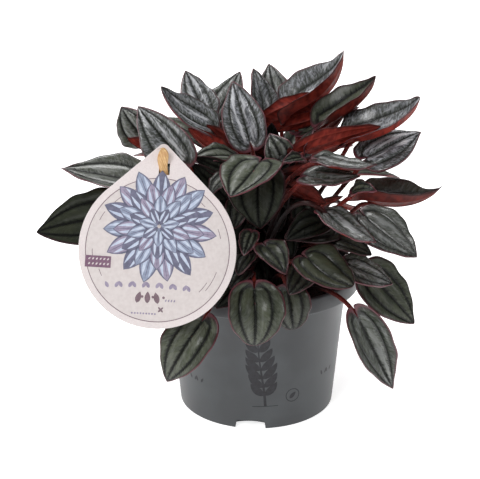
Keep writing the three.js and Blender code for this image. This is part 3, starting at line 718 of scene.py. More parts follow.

# %% [markdown]
# The underside holds the red pigment that gives the plant its glow from below. It is smooth and satin,
# brick red, with paler veins that stand out, and painted shade darkens it to nearly black inside the
# plant. The stalk is the same red, full of sap, with fine streaks, and painted shade darkens it towards
# the crown. Subsurface light would suit both, but the red is dense and the leaf is thin, so plain colour
# looks the same and is faster.

# %% Underside
leaf_under, tree = new_material("leaf_underside_brick_red")
flat = add(tree, "Attribute", output="Vector", attribute_name="flat")
vein, margin, shade = (
    add(tree, "Attribute", output="Fac", attribute_name=key)
    for key in ("from_vein", "from_margin", "shade")
)
blotches = add(tree, "TexNoise", {"Vector": flat, "Scale": grain(10 / 3, FLAT_MM), "Detail": 4.0})
red = mottled(tree, blotches, 0.3, 0.7, "#5C1813", "#8E3227")
red = tinted(tree, red, vein, (0.2, 0.9, 0.45, 0.0), "#7E3026")
red = tinted(tree, red, margin, (0.2, 1.5, 0.85, 0.0), "#30100F")
# Painted shade: the red turns towards near black by the leaf's shade number.
red = add(tree, "Mix", {"Factor": shade, "A": red, "B": srgb("#080202")}, **COLOUR)
bump = add(tree, "Bump", {"Height": blotches, "Strength": 0.5, "Distance": 0.4 * MM})
surface = add(tree, "BsdfPrincipled", {
    "Base Color": red, "Roughness": 0.5, "Normal": bump, "IOR": 1.42, "Specular IOR Level": 0.2,
})
add(tree, "OutputMaterial", {"Surface": surface})

# %% Stalk skin
stalk_skin, tree = new_material("leaf_stalk_fleshy_red")
place = add(tree, "NewGeometry", output="Position")
streaks = add(tree, "TexNoise", {"Vector": place, "Scale": grain(10 / 7), "Detail": 2.0})
up_stalk, shade = (
    add(tree, "Attribute", output="Fac", attribute_name=key) for key in ("up_stalk", "shade")
)
red = mottled(tree, streaks, 0.35, 0.75, "#6C1F1B", "#983C32")
# Painted shade: the stalk is darkened to near black towards the crown, where the leaves above shade it.
painted_light_up_stalk = add(tree, "MapRange", [up_stalk, 0.35, 0.85], **SMOOTH)
red = add(tree, "Mix", {"Factor": painted_light_up_stalk, "A": srgb("#100404"), "B": red}, **COLOUR)
# Painted shade: the stalk's shade number darkens it further.
red = add(tree, "Mix", {"Factor": shade, "A": red, "B": srgb("#0A0303")}, **COLOUR)
surface = add(tree, "BsdfPrincipled", {
    "Base Color": red, "Roughness": 0.45, "IOR": 1.42, "Specular IOR Level": 0.25,
})
add(tree, "OutputMaterial", {"Surface": surface})

# %% The skins of a leaf
# DULL_SHADE: leaves with more painted shade than this get the dull copy of the skin.
SILVERED_FROM, DULL_SHADE = 0.25, 0.7  # how silvery or how dark a leaf is to have that skin


def skins_of(leaf):
    """The three materials of a leaf: silvered, green or, for deep painted shade, a dull copy above."""
    kind = "silvered" if leaf["silver"] >= SILVERED_FROM else "green"
    return [SKINS["shaded" if leaf["shade"] > DULL_SHADE else kind], leaf_under, stalk_skin]


# %% [markdown]
# ## The full-grown leaves
#
# Most leaves share one set of looks. A few differ, as on a real plant: some tips turn up, some blades are
# folded along the midrib like a little boat, some are rounder or more drawn out at the tip, and some are
# silvery all over. Others are darkened by painted shade, some to nearly black. Each of these is one
# number, so a short table by name holds what differs, and every other leaf takes the usual value.

# %% How silvery a leaf is, and how dark its painted shade
SILVER = {
    "top_front": 1.0, "fan_1": 1.0, "fan_3": 0.9, "fan_2": 0.1, "fan_4": 1.0, "fan_5": 0.35,
    "upper_left_front": 0.9, "left_top_large": 0.75, "left_top_small": 0.3, "left_far": 0.3,
    "left_large": 0.0, "upper_left_back": 0.85, "top_left": 0.5, "top_middle": 0.9, "top_back": 0.5,
    "mid_right_1": 0.5, "mid_right_2": 0.5, "low_right_1": 0.6, "low_right_2": 0.4,
    "low_right_3": 0.5, "hang_right": 0.35, "centre_top": 0.3, "centre_side": 0.2, "centre_left": 0.15,
    "hang_left": 0.1, "front_right": 0.05, "front_small": 0.05,
}
LOW_SILVER = 0.1
# Painted shade: how far each leaf is darkened towards near black, where it lies in the plant's shade.
PAINTED_SHADES = {
    "left_large": 0.73, "shade_right": 0.88, "shade_middle": 0.88, "shade_left": 0.8,
    "centre_large": 0.75, "front_behind": 0.45, "centre_side": 0.1, "centre_upright": 0.4,
    "fan_2": 0.25, "front_right": 0.4, "droop_right": 0.15, "hang_left": 0.15,
    "mid_right_1": 0.3, "low_right_2": 0.4, "front_small": 0.5, "front_centre": 0.22,
    "mid_right_2": 0.1, "left_far": 0.12, "left_top_small": 0.15, "fan_5": 0.52,
}
# Painted shade on the stalks of a few leaves, where it differs from their blades'.
PAINTED_STALK_SHADES = {"low_right_1": 0.85, "low_right_2": 0.5, "mid_right_1": 0.4}

# %% How a leaf's tip and midrib are bent
HOOKS = {"fan_5": 2.0, "left_far": 1.0}  # how far in mm the tip turns up
KEELS = {"fan_2": 3.2, "fan_3": 2.3, "fan_5": 0.8}  # how deep in mm the midrib lies
KEEL_IN_BOW = 0.8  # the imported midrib's arch holds this share of the keel
USUAL_TIP = 0.05  # 0 for a pointed tip, 0.4 for a round one, and less than 0 for a drawn-out one
TIPS = {
    "front_behind": 0.35, "front_centre": 0.3, "front_right": 0.35, "fan_3": 0.3, "fan_2": 0.15,
    "upper_left_front": 0.15, "left_far": -0.25, "fan_4": -0.15, "fan_5": -0.2,
}

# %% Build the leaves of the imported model
triangles = 0
for number, (name, leaf) in enumerate(leaves.items()):
    plain = name.replace("leaf_", "")
    shade, keel = PAINTED_SHADES.get(plain, 0.0), KEELS.get(plain, 0.0)
    leaf.update(silver=SILVER.get(plain, LOW_SILVER), shade=shade, hook=HOOKS.get(plain, 0))
    leaf.update(keel=keel, bow=leaf["bow"] + KEEL_IN_BOW * keel, tip_shape=TIPS.get(plain, USUAL_TIP))
    leaf.update(stalk_radius=STALK_RADIUS, stalk_shade=PAINTED_STALK_SHADES.get(plain, shade))
    piece = build_leaf("blade_" + plain, leaf, number, skins_of(leaf))
    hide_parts(name)
    triangles += sum(len(face.vertices) - 2 for face in piece.data.polygons)
print("triangles in the full-grown leaves:", triangles)

# %% [markdown]
# ## Young leaves
#
# A healthy plant is so dense that its middle is dark. Under the full-grown leaves, young ones fill every
# gap, overlapping like shingles. A scatter of random copies would leave holes and collide, so some are
# placed one by one, each by the point where its stalk meets it and by its tip. The rest follow the golden
# angle, by which real shoots turn from each leaf to the next, so no two lie above each other. Most of them
# carry painted shade that darkens them towards black. Those with deep painted shade are drawn on a coarser
# grid, as little of them shows.

# %% Grow a young leaf
ROOT_HEIGHT, ROOT_RADIUS = 78.0, 9  # where in the crown a young stalk starts
RISE_SHARE, ARRIVE_SHARE = 0.45, 0.25  # the lengths of its curve's two handles, as shares of its reach
RISE_OUT, ARRIVE_ALONG, ARRIVE_UP = 0.5, 0.8, 0.9  # the handles' slopes
YOUNG_BOW = 0.06  # a young blade's bow as a share of its width
YOUNG_LOOKS = {"silver": LOW_SILVER, "hook": 0, "keel": 0, "tip_shape": 0.2, "stalk_radius": 0.95}
# YOUNG_STALK_SHADE: the least painted shade on a young leaf's stalk.
YOUNG_STALK_SHADE = 0.4


def grow_leaf(base, tip, width, looks, cup, shade):
    """A young leaf: the same measures as those read from the solids, and a stalk from the crown."""
    base, tip = np.asarray(base, float), np.asarray(tip, float)
    along = unit(tip - base)
    left = unit(np.cross(looks, along))
    up = np.cross(along, left)
    off_axis = math.hypot(base[0], base[1]) > 1
    around = unit([base[0], base[1], 0.0]) if off_axis else np.array([1.0, 0, 0])
    root = np.array([0, 0, ROOT_HEIGHT]) + ROOT_RADIUS * around
    end = base - STALK_END_BELOW * up
    reach = np.linalg.norm(end - root)
    first = root + RISE_SHARE * reach * unit(RISE_OUT * around + [0, 0, 1])
    last = end - ARRIVE_SHARE * reach * unit(ARRIVE_ALONG * along + ARRIVE_UP * up)
    t = np.linspace(0, 1, 8)[:, None]
    stalk = (1 - t) ** 3 * root + 3 * t * (1 - t) ** 2 * first + 3 * t * t * (1 - t) * last + t**3 * end
    return {
        "base": base, "tip": tip, "along": along, "up": up, "left": left,
        "length": np.linalg.norm(tip - base), "width": width, "bow": YOUNG_BOW * width, "cup": cup,
        "stalk": stalk, "shade": shade, "stalk_shade": max(shade, YOUNG_STALK_SHADE), **YOUNG_LOOKS,
    }


# %% Young leaves placed one by one
# The last column is the painted shade that darkens the leaf towards near black.
YOUNG = [  # base, tip, width, the way the upper face looks, cup, how dark it is
    ((24, -26, 161), (68, -16, 172), 15, (0, 1, 0.35), 2.5, 0.0),
    ((36, -8, 156), (53, -8, 162), 10, (0, 1, 0.3), 2, 0.3),
    ((8, 4, 152), (8, 4, 169), 11, (0, -1, 0.2), 1, 0.8),
    ((34, 17, 174), (-7, 17, 161), 23, (0.1, 1, 0.25), 3, 0.0),
    ((36, 8, 163), (50, 8, 174), 12, (0, 1, 0.2), 2, 0.6),
    ((19, -40, 153), (54, -36, 154), 8, (0, 1, 0.35), 2, 0.35),
    ((21, -36, 140), (18, -34, 158), 10, (0, -1, 0.3), 2, 0.75),
    ((18, -42, 145), (37, -40, 135), 12, (0, 1, 0.3), 2, 0.5),
    ((-17, -32, 151), (-35, -32, 159), 10, (0, -1, 0.3), 2, 0.8),
    ((0, 6, 145), (5, 6, 166), 9, (0, -1, 0.2), 1, 0.72),
    ((11, -24, 149), (24, -24, 157), 9, (0, -1, 0.6), 1, 0.75),
    ((-52, -20, 156), (-72, -22, 167), 11, (0, 1, 0.4), 2, 0.12),
    ((-19, -12, 155), (-39, -12, 170), 12, (0, 1, 0.3), 2, 0.1),
    ((-8, -4, 149), (-29, 0, 169), 14, (0, 1, 0.3), 2, 0.5),
    ((-17, 2, 155), (8, 2, 151), 11, (0, 1, 0.2), 2, 0.75),
    ((-18, -34, 137), (-36, -34, 156), 16, (0, -1, 0.3), 2, 0.85),
    ((12, -28, 155), (30, -28, 159), 8, (0, -0.6, 1), 2, 0.6),
    ((32, -30, 130), (47, -30, 136), 6, (0, 1, 0.3), 1, 0.3),
    ((23, -34, 159), (13, -42, 159), 9, (0.1, -0.6, 1), 2, 0.2),
    ((18, -31, 139), (19, -29, 155), 9, (-0.8, -0.9, 0.1), 2, 0.4),
    ((40, -42, 116), (62, -48, 108), 20, (0.3, -0.5, 1), 3, 0.6),
    ((-4, -60, 125), (-8, -70, 116), 11, (-0.2, -1, 0.8), 2, 0.3),
    ((-5, -62, 113), (-11, -73, 106), 12, (-0.5, -0.8, 0.7), 2, 0.6),
    ((-7, -62, 104), (-15, -72, 98), 12, (-0.4, -0.9, 0.7), 2, 0.6),
    ((-10, -58, 96), (-24, -66, 85), 17, (-0.3, -1, 0.7), 3, 0.6),
    ((26, -60, 105), (16, -73, 95), 17, (0.0, -1, 0.8), 3, 0.6),
    ((40, -38, 120), (14, -48, 118), 22, (0.0, -0.7, 1), 3, 0.7),
    ((-16, -38, 150), (-26, -50, 143), 14, (-0.4, -0.5, 1), 3, 0.6),
    ((-9, -42, 137), (-13, -56, 126), 15, (-0.2, -0.9, 0.8), 3, 0.6),
]
# Painted shade: young leaves with less of it than this show in the light.
LIT_SHADE = 0.45  # young leaves lighter than this show in the light, so they get the fine grid
young_leaves = [grow_leaf(*row) for row in YOUNG]
print("young leaves placed by hand:", len(young_leaves))

# %% Young leaves by the golden angle
GOLDEN_ANGLE = 137.5
INNER_COUNT = 34
INNER_MIDDLE = np.array([3.0, -2.0, 96.0])  # they lie on this ball's upper part and a little below
INNER_REACH = np.array([25.0, 25.0, 36.0])
INNER_SPREAD = 1.15  # 1 would stop at the ball's widest ring
INNER_WIDTHS = (18, 24)
# INNER_SHADE is the painted shade that darkens the leaves of the golden angle towards near black.
INNER_CUP, INNER_LENGTH, INNER_SHADE = 0.15, 1.2, 0.9  # cup and length as shares of the width
inner_rng = np.random.default_rng(31)
for i in range(INNER_COUNT):
    turn = math.radians(GOLDEN_ANGLE * i)
    tilt = math.acos(1 - INNER_SPREAD * (i + 0.5) / INNER_COUNT)
    out = np.array([math.sin(tilt) * math.cos(turn), math.sin(tilt) * math.sin(turn), math.cos(tilt)])
    base = INNER_MIDDLE + out * INNER_REACH * inner_rng.uniform(0.78, 1.0)
    looks = unit(out + [0, 0, 0.5])
    side = np.array([math.cos(turn), math.sin(turn), 0.0])
    along = unit(side - (side @ looks) * looks + inner_rng.uniform(-0.25, 0.25, 3))
    width = inner_rng.uniform(*INNER_WIDTHS)
    tip = base + INNER_LENGTH * width * along
    young_leaves.append(grow_leaf(base, tip, width, looks, INNER_CUP * width, INNER_SHADE))

# %% Build the young leaves
young_triangles = 0
for number, leaf in enumerate(young_leaves):
    grid = FINE_GRID if leaf["shade"] < LIT_SHADE else PLAIN_GRID
    piece = build_leaf(f"young_leaf_{number + 1:02d}", leaf, 100 + number, skins_of(leaf), grid)
    young_triangles += sum(len(face.vertices) - 2 for face in piece.data.polygons)
print("young leaves:", len(young_leaves), "with", young_triangles, "triangles")

# %% [markdown]
# ## Pot
#
# The pot is injection-moulded polypropylene, dyed grey through and through. It is a body of revolution,
# so its section is turned about the middle. A screw modifier could turn it, but the loft from above does
# the same in one call. The water notches in the foot and the drain holes are then cut out of it with a
# Boolean modifier, as a drill and a saw would. A notch is a little wider at the bottom and round in its
# corners, so that it leaves the mould easily.

# %% The pot's section
# Radius and height: along the underside, up the outside, over the collar, down the inside and back.
POT_SECTION = [
    (0, 0), (13.4, 0), (14.2, 0.4), (18.5, 4.5), (37.5, 4.5), (41.4, 0.5), (42, 0), (45.4, 0),
    (46, 0.5), (46.35, 4.4), (52.45, 73.2), (52.9, 73.9), (53.6, 74.1), (59.0, 74.1), (59.7, 74.5),
    (60, 75.3), (60, 82.6), (59.75, 83.4), (59.1, 83.9), (58.4, 83.9), (57.7, 83.4), (57.4, 82.6),
    (57.4, 76.4), (57.0, 75.7), (51.8, 74.9), (51.0, 74.3), (50.8, 73.6), (44.6, 8.1),
    (43.6, 7.0), (41.5, 6.9), (0, 6.9),
]
POT_SIDES, POT_SHARP = 144, 40  # edges where its faces meet at more degrees are shown sharp
print("pot:", 2 * max(r for r, _ in POT_SECTION), "mm wide,", max(z for _, z in POT_SECTION), "mm high")


# %% Turned and flat shapes
def round_ring(radius, turn, height):
    """Points round Z. The radius and the height may differ from point to point."""
    return np.stack([radius * np.cos(turn), radius * np.sin(turn), height + 0 * turn], axis=1)


def turned(section, sides):
    """A body of revolution about Z as loft points and faces, from an open section on the axis."""
    turn = np.linspace(0, 2 * np.pi, sides, endpoint=False)
    rings = [round_ring(radius, turn, height) for radius, height in section[1:-1]]
    return loft((0, 0, section[0][1]), rings, (0, 0, section[-1][1]))


def lifted(outline, height):
    """A flat outline as a ring at a height."""
    return np.column_stack([outline, np.full(len(outline), height)])


def prism(outline, low, high):
    """A flat outline extruded along Z from low to high."""
    outline = np.asarray(outline, float)
    middle = outline.mean(0)
    return loft((*middle, low), [lifted(outline, low), lifted(outline, high)], (*middle, high))


def moved(points, matrix):
    """Points taken through a 4 x 4 matrix, in millimetres."""
    matrix = np.array(matrix)
    return np.asarray(points, float) @ matrix[:3, :3].T + matrix[:3, 3]


# %% Cutting
def cut(target, cutters):
    """Takes the volume of each cutter, a pair of points and faces, out of the target's mesh."""
    tool = bmesh.new()
    for points, faces in cutters:
        corners = [tool.verts.new(point) for point in (np.asarray(points) * MM).tolist()]
        for face in faces:
            tool.faces.new([corners[v] for v in face])
    bmesh.ops.recalc_face_normals(tool, faces=tool.faces)
    tool_mesh = bpy.data.meshes.new("cutter")
    tool.to_mesh(tool_mesh)
    tool.free()
    cutter = bpy.data.objects.new("cutter", tool_mesh)
    bpy.context.scene.collection.objects.link(cutter)
    modifier = target.modifiers.new("cut", "BOOLEAN")
    modifier.object, modifier.operation, modifier.solver = cutter, "DIFFERENCE", "EXACT"
    evaluated = target.evaluated_get(bpy.context.evaluated_depsgraph_get())
    result = bpy.data.meshes.new_from_object(evaluated)
    target.modifiers.clear()
    target.data = result
    bpy.data.objects.remove(cutter)


# %% Notches and drain holes
FOOT_RADIUS = 46
NOTCHES, NOTCH_TURN = 3, -5  # the first notch is turned this far from the front
NOTCH_WIDTH, NOTCH_HEIGHT, NOTCH_CORNER, NOTCH_FLARE = 16.4, 5.5, 1.6, 0.12
NOTCH_BELOW, NOTCH_DEEP = 4, 6  # how far its cutter reaches below the pot, and into the wall
DRAINS, DRAIN_RADIUS, DRAIN_CIRCLE, DRAIN_SIDES = 6, 4, 27, 28
FLOOR_SPAN = (-8, 12)  # heights that take in the whole thickness of the pot's floor

corner_turn = np.radians(np.linspace(90, 0, 6))
side_x = NOTCH_WIDTH / 2 - NOTCH_CORNER + NOTCH_CORNER * np.cos(corner_turn)
side_z = NOTCH_HEIGHT - NOTCH_CORNER + NOTCH_CORNER * np.sin(corner_turn)
flared = NOTCH_WIDTH / 2 + NOTCH_FLARE * (NOTCH_HEIGHT + NOTCH_BELOW)
right_side = list(zip(side_x, side_z)) + [(flared, -NOTCH_BELOW)]
notch_outline = right_side + [(-x, z) for x, z in right_side[::-1]]

cutters = []
for i in range(NOTCHES):
    points, faces = prism(notch_outline, -NOTCH_DEEP, NOTCH_DEEP)
    upright = Matrix.Translation((0, -FOOT_RADIUS, 0)) @ Matrix.Rotation(math.radians(90), 4, "X")
    turn = Matrix.Rotation(math.radians(NOTCH_TURN + 360 / NOTCHES * i), 4, "Z")
    cutters.append((moved(points, turn @ upright), faces))
drain_turn = np.linspace(0, math.tau, DRAIN_SIDES, False)
circle = [(DRAIN_RADIUS * math.cos(a), DRAIN_RADIUS * math.sin(a)) for a in drain_turn]
for i in range(DRAINS):
    points, faces = prism(circle, *FLOOR_SPAN)
    turn = Matrix.Rotation(math.radians(360 / DRAINS * (i + 0.5)), 4, "Z")
    cutters.append((moved(points, turn @ Matrix.Translation((DRAIN_CIRCLE, 0, 0))), faces))
print("cutters:", len(cutters))

# %% Pot material
# Moulded polypropylene: a satin skin that takes broad soft highlights, with a faint orange-peel
# texture about 0.6 mm across, and dust-dull clouds a few centimetres wide.
pot_plastic, tree = new_material("polypropylene_moulded_grey")
place = add(tree, "NewGeometry", output="Position")
peel = add(tree, "TexNoise", {"Vector": place, "Scale": grain(0.625), "Detail": 2.0})
clouds = add(tree, "TexNoise", {"Vector": place, "Scale": grain(1000 / 38), "Detail": 4.0})
grey = mottled(tree, clouds, 0.35, 0.7, "#424446", "#4A4D4F")
rough = add(tree, "MapRange", [clouds, 0.3, 0.75, 0.36, 0.46], **SMOOTH)
bump = add(tree, "Bump", {"Height": peel, "Strength": 0.12, "Distance": 0.1 * MM})
surface = add(tree, "BsdfPrincipled", {
    "Base Color": grey, "Roughness": rough, "Normal": bump, "IOR": 1.49, "Specular IOR Level": 0.3,
})
add(tree, "OutputMaterial", {"Surface": surface})

# %% Pot
points, faces = turned(POT_SECTION, POT_SIDES)
pot = make_piece("pot_shell", points, faces, [pot_plastic])
cut(pot, cutters)
pot.data.polygons.foreach_set("use_smooth", [True] * len(pot.data.polygons))
pot.data.set_sharp_from_angle(angle=math.radians(POT_SHARP))
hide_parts("pot")
print("pot faces:", len(pot.data.polygons))

# %% [markdown]
# ## Compost
#
# Nursery compost is damp peat: nearly black, matt, and crumbly. The bed is a loft whose top rings are
# lifted and dropped by noise, and crumbs of 1 to 3 mm lie on it. A particle system could scatter the
# crumbs, but an export leaves particles out, so each one is a little loft in the bed's own mesh.

# %% Compost material
peat, tree = new_material("peat_compost_damp")
place = add(tree, "NewGeometry", output="Position")
fibre_look = {"Scale": grain(10 / 5.2), "Detail": 6.0, "Roughness": 0.7}
fibres = add(tree, "TexNoise", {"Vector": place, **fibre_look})
brown = mottled(tree, fibres, 0.4, 0.7, "#17110D", "#42312A")
bump = add(tree, "Bump", {"Height": fibres, "Strength": 0.9, "Distance": 0.8 * MM})
surface = add(tree, "BsdfPrincipled", {"Base Color": brown, "Roughness": 0.85, "Normal": bump, "IOR": 1.4})
add(tree, "OutputMaterial", {"Surface": surface})

# %% Compost bed
SOIL_RADIUS, SOIL_BOTTOM, SOIL_TOP, SOIL_DIP = 50.0, 7.3, 71.2, 1.4
SOIL_SIDE = ((50.2, 66.0), (43.6, SOIL_BOTTOM + 0.6), (43.0, SOIL_BOTTOM))  # radius and height
SOIL_SIDES, SOIL_RINGS = 96, 34
LUMPS = ((1.5, 0.16), (0.9, 0.5))  # the height in mm and the number per mm of two sizes of lump
soil_turn = np.linspace(0, 2 * np.pi, SOIL_SIDES, endpoint=False)


def soil_height(x, y):
    """The height of the bed at a place, in millimetres."""
    lumps = [high * noise.noise(Vector((x, y, 0)) * often) for high, often in LUMPS]
    return SOIL_TOP + (lumps[0] + lumps[1]) - SOIL_DIP * (math.hypot(x, y) / SOIL_RADIUS) ** 3


rings = [round_ring(radius, soil_turn, 0) for radius in np.linspace(2.5, SOIL_RADIUS, SOIL_RINGS)]
for top_ring in rings:
    top_ring[:, 2] = [soil_height(x, y) for x, y in top_ring[:, :2]]
rings += [round_ring(radius, soil_turn, height) for radius, height in SOIL_SIDE]
soil_points, soil_faces = loft((0, 0, SOIL_TOP), rings, (0, 0, SOIL_BOTTOM))
soil_faces = [face[::-1] for face in soil_faces]
soil_points = soil_points.tolist()
print("compost points:", len(soil_points))

# %% Crumbs
CRUMBS, CRUMB_SIDES = 420, 6
CRUMB_FIELD = 49  # the radius of the round they lie in
CRUMB_SIZES = (0.5, 1.5)  # half of a crumb's width, in mm
CRUMB_RINGS = ((-0.75, 0.6), (-0.1, 1.0), (0.6, 0.65))  # level and width as shares of its size
LIES_HIGHER = 0.5  # a crumb's middle above the bed
crumb_rng = np.random.default_rng(7)
for _ in range(CRUMBS):
    radius, turn = CRUMB_FIELD * math.sqrt(crumb_rng.uniform(0.05, 1)), crumb_rng.uniform(0, math.tau)
    size = crumb_rng.uniform(*CRUMB_SIZES)
    lies_at = SOIL_TOP + LIES_HIGHER - SOIL_DIP * (radius / SOIL_RADIUS) ** 3
    middle = np.array([radius * math.cos(turn), radius * math.sin(turn), lies_at])
    rings = []
    for level, share in CRUMB_RINGS:
        angles = np.linspace(0, 2 * np.pi, CRUMB_SIDES, endpoint=False) + crumb_rng.uniform(0, 1)
        reach = size * share * crumb_rng.uniform(0.7, 1.25, CRUMB_SIDES)
        rings.append(middle + round_ring(reach, angles, level * size))
    crumb, crumb_faces = loft(middle - [0, 0, size], rings, middle + [0, 0, 0.95 * size])
    shift = len(soil_points)
    soil_points += crumb.tolist()
    soil_faces += [tuple(v + shift for v in face) for face in crumb_faces]
soil = make_piece("compost_bed", soil_points, soil_faces, [peat])
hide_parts("soil")
print("crumbs:", CRUMBS)

# %% [markdown]
# ## Crown
#
# The stalks rise from a short thick stem, hidden among them. It is brown and rough with the scars of
# old stalks. As so little of it shows, a turned dome is shape enough, and the scars are Voronoi cells.

# %% Crown material
stem_skin, tree = new_material("stem_corky_brown")
place = add(tree, "NewGeometry", output="Position")
scars = add(tree, "TexVoronoi", {"Vector": place, "Scale": grain(10 / 2.6)})
brown = add(tree, "Mix", {"Factor": scars, "A": srgb("#2A1512"), "B": srgb("#52302A")}, **COLOUR)
bump = add(tree, "Bump", {"Height": scars, "Strength": 0.8, "Distance": 0.6 * MM})
surface = add(tree, "BsdfPrincipled", {"Base Color": brown, "Roughness": 0.7, "Normal": bump})
add(tree, "OutputMaterial", {"Surface": surface})

# %% Crown
CROWN_RADIUS, CROWN_RISE, CROWN_MIDDLE, CROWN_FOOT = 16.8, 13.4, 69.5, 71.0
CROWN_SIDES, CROWN_STEPS = 40, 13
dome = [(0, CROWN_FOOT)]
for angle in np.radians(np.linspace(4, 90, CROWN_STEPS)):
    dome.append((CROWN_RADIUS * math.cos(angle), CROWN_MIDDLE + CROWN_RISE * math.sin(angle)))
points, faces = turned(dome, CROWN_SIDES)
crown = make_piece("crown_stem", points, faces, [stem_skin])
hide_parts("crown")
print("crown:", 2 * CROWN_RADIUS, "mm wide")

# %% [markdown]
# ## Care tag
#
# The tag is die-cut from thin card in the shape of a drop: a circle and a small rounded apex with the
# hull round both. A square slot near the apex lets the stick through. A curve object could be extruded,
# but its edge would be square, and a cut card's edge is pressed a little round. So the card is a loft of
# four outlines, made in a frame of its own: X to the right, Y up the card and Z towards its front. That
# frame is then leaned back.

# %% Card shape
TAG_CENTRE = Vector((-53, -75, 121))
TAG_LEAN, TAG_YAW, TAG_ROLL = 18, 3, -4.6
TAG_RADIUS, TAG_APEX, APEX_RADIUS = 41.2, 55.5, 3.0
SLOT_HEIGHT, SLOT_WIDTH, SLOT_DEPTH, SLOT_SHIFT = 42.5, 5.6, 6.0, 0.9
CARD_HALF, CARD_EDGE, CARD_SHARP = 0.42, 0.12, 30

tag_frame = (
    Matrix.Translation(TAG_CENTRE)
    @ Matrix.Rotation(math.radians(TAG_YAW), 4, "Z")
    @ Matrix.Rotation(math.radians(90 - TAG_LEAN), 4, "X")
    @ Matrix.Rotation(math.radians(TAG_ROLL), 4, "Z")
)


# %% The drop's outline
APEX_STEPS, ROUND_STEPS = 12, 96


def drop_outline(inset):
    """The drop's outline, inset by some millimetres."""
    centre = TAG_APEX - APEX_RADIUS
    side = math.acos((TAG_RADIUS - APEX_RADIUS) / centre)
    small, large = APEX_RADIUS - inset, TAG_RADIUS - inset
    top = np.linspace(math.pi / 2 - side, math.pi / 2 + side, APEX_STEPS)
    bottom = np.linspace(math.pi / 2 + side, 2.5 * math.pi - side, ROUND_STEPS)
    apex = [(small * math.cos(a), centre + small * math.sin(a)) for a in top]
    return np.array(apex + [(large * math.cos(a), large * math.sin(a)) for a in bottom])


# %% Card material
# Coated card: matt, very slightly pink, with a fine pulp texture that only shows up close.
card_board, tree = new_material("card_board_matt_coated")
place = add(tree, "NewGeometry", output="Position")
pulp = add(tree, "TexNoise", {"Vector": place, "Scale": grain(10 / 14), "Detail": 3.0})
tone = mottled(tree, pulp, 0.3, 0.7, "#D3C9C8", "#DAD1D0")
bump = add(tree, "Bump", {"Height": pulp, "Strength": 0.1, "Distance": 0.05 * MM})
surface = add(tree, "BsdfPrincipled", {"Base Color": tone, "Roughness": 0.6, "Normal": bump, "IOR": 1.45})
add(tree, "OutputMaterial", {"Surface": surface})

# %% Card
CARD_MIDDLE = 4  # the height on the card that the faces of its front and back meet at
CARD_LEVELS = (  # the inset and height of each outline, from the back to the front
    (CARD_EDGE, -CARD_HALF), (0, CARD_EDGE - CARD_HALF),
    (0, CARD_HALF - CARD_EDGE), (CARD_EDGE, CARD_HALF),
)
rings = [lifted(drop_outline(inset), height) for inset, height in CARD_LEVELS]
points, faces = loft((0, CARD_MIDDLE, -CARD_HALF), rings, (0, CARD_MIDDLE, CARD_HALF))
card = make_piece("care_tag_card", moved(points, tag_frame), faces, [card_board])
slot_corners = [
    (SLOT_SHIFT + x * SLOT_WIDTH / 2, SLOT_HEIGHT + y * SLOT_DEPTH / 2)
    for x, y in ((-1, -1), (1, -1), (1, 1), (-1, 1))
]
slot_points, slot_faces = prism(slot_corners, -3, 3)
cut(card, [(moved(slot_points, tag_frame), slot_faces)])
card.data.set_sharp_from_angle(angle=math.radians(CARD_SHARP))
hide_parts("care_tag")
print("card faces:", len(card.data.polygons))

# %% [markdown]
# ## What is printed
#
# The tag carries a rosette of striped leaves inside a thin ring, with rows of small leaf ornaments under
# it. The pot carries an upright spray, a ring with a leaf, and two small ornaments. Each print is a film
# of ink a few hundredths of a millimetre proud of the surface. An image could hold it, but its edges
# would blur up close. So a drawing is made flat, from lines that swell and taper, all cut into small
# cells, so that the same drawing can lie on the card or wrap round the pot's wall.

# %% Brush stroke
def stroke(line, half, ink=0, layer=1):
    """A line drawn with a brush that is half wide to each side: points, faces, ink and layer."""
    line = np.asarray(line, float)
    half = np.asarray(half, float)[:, None]
    step = np.gradient(line, axis=0)
    step /= np.linalg.norm(step, axis=1)[:, None]
    normal = np.column_stack([step[:, 1], -step[:, 0]])
    points = np.stack([line + side * half * normal for side in (1, 0.33, -0.33, -1)], axis=1)
    faces = []
    for i in range(len(line) - 1):
        for k in range(3):
            a = 4 * i + k
            faces.append((a, a + 4, a + 5, a + 1))
    return points.reshape(-1, 2), faces, ink, layer


# %% Pointed leaves and arcs
PETAL_STEPS = 8


def petal(x, y, turn, length, width, bend=0.0, ink=0, layer=1):
    """A pointed leaf shape from its base at x, y. bend curves its midrib to the left."""
    t = np.linspace(0, 1, PETAL_STEPS + 1)
    angle = math.radians(turn) + bend * t
    steps = np.column_stack([np.cos(angle), np.sin(angle)]) * length / PETAL_STEPS
    line = [x, y] + np.vstack([[0, 0], np.cumsum(steps[:-1], axis=0)])
    return stroke(line, np.maximum(width / 2 * np.sin(np.pi * t**0.85) ** 0.8, 0.01), ink, layer)


def arc(radius, start, end, width, x=0.0, y=0.0, ink=0, layer=1):
    """A stroke along part of a circle."""
    turn = np.radians(np.linspace(start, end, max(4, int(abs(end - start) / 4))))
    line = np.column_stack([x + radius * np.cos(turn), y + radius * np.sin(turn)])
    return stroke(line, np.full(len(turn), width / 2), ink, layer)


# %% Printed pieces
FILM, LAYER = 0.03, 0.012  # the height of the lowest ink and the rise from layer to layer, in mm


def print_piece(name, shapes, wrap, inks):
    """One object from flat shapes. wrap places a flat point at a height above the surface."""
    points, faces, slots = [], [], []
    for flat_points, flat_faces, ink, layer in shapes:
        shift = len(points)
        points += [wrap(x, y, FILM + LAYER * layer) for x, y in flat_points]
        faces += [tuple(v + shift for v in face) for face in flat_faces]
        slots += [ink] * len(flat_faces)
    print(name, "shapes:", len(shapes))
    return make_piece(name, points, faces, inks, slots)


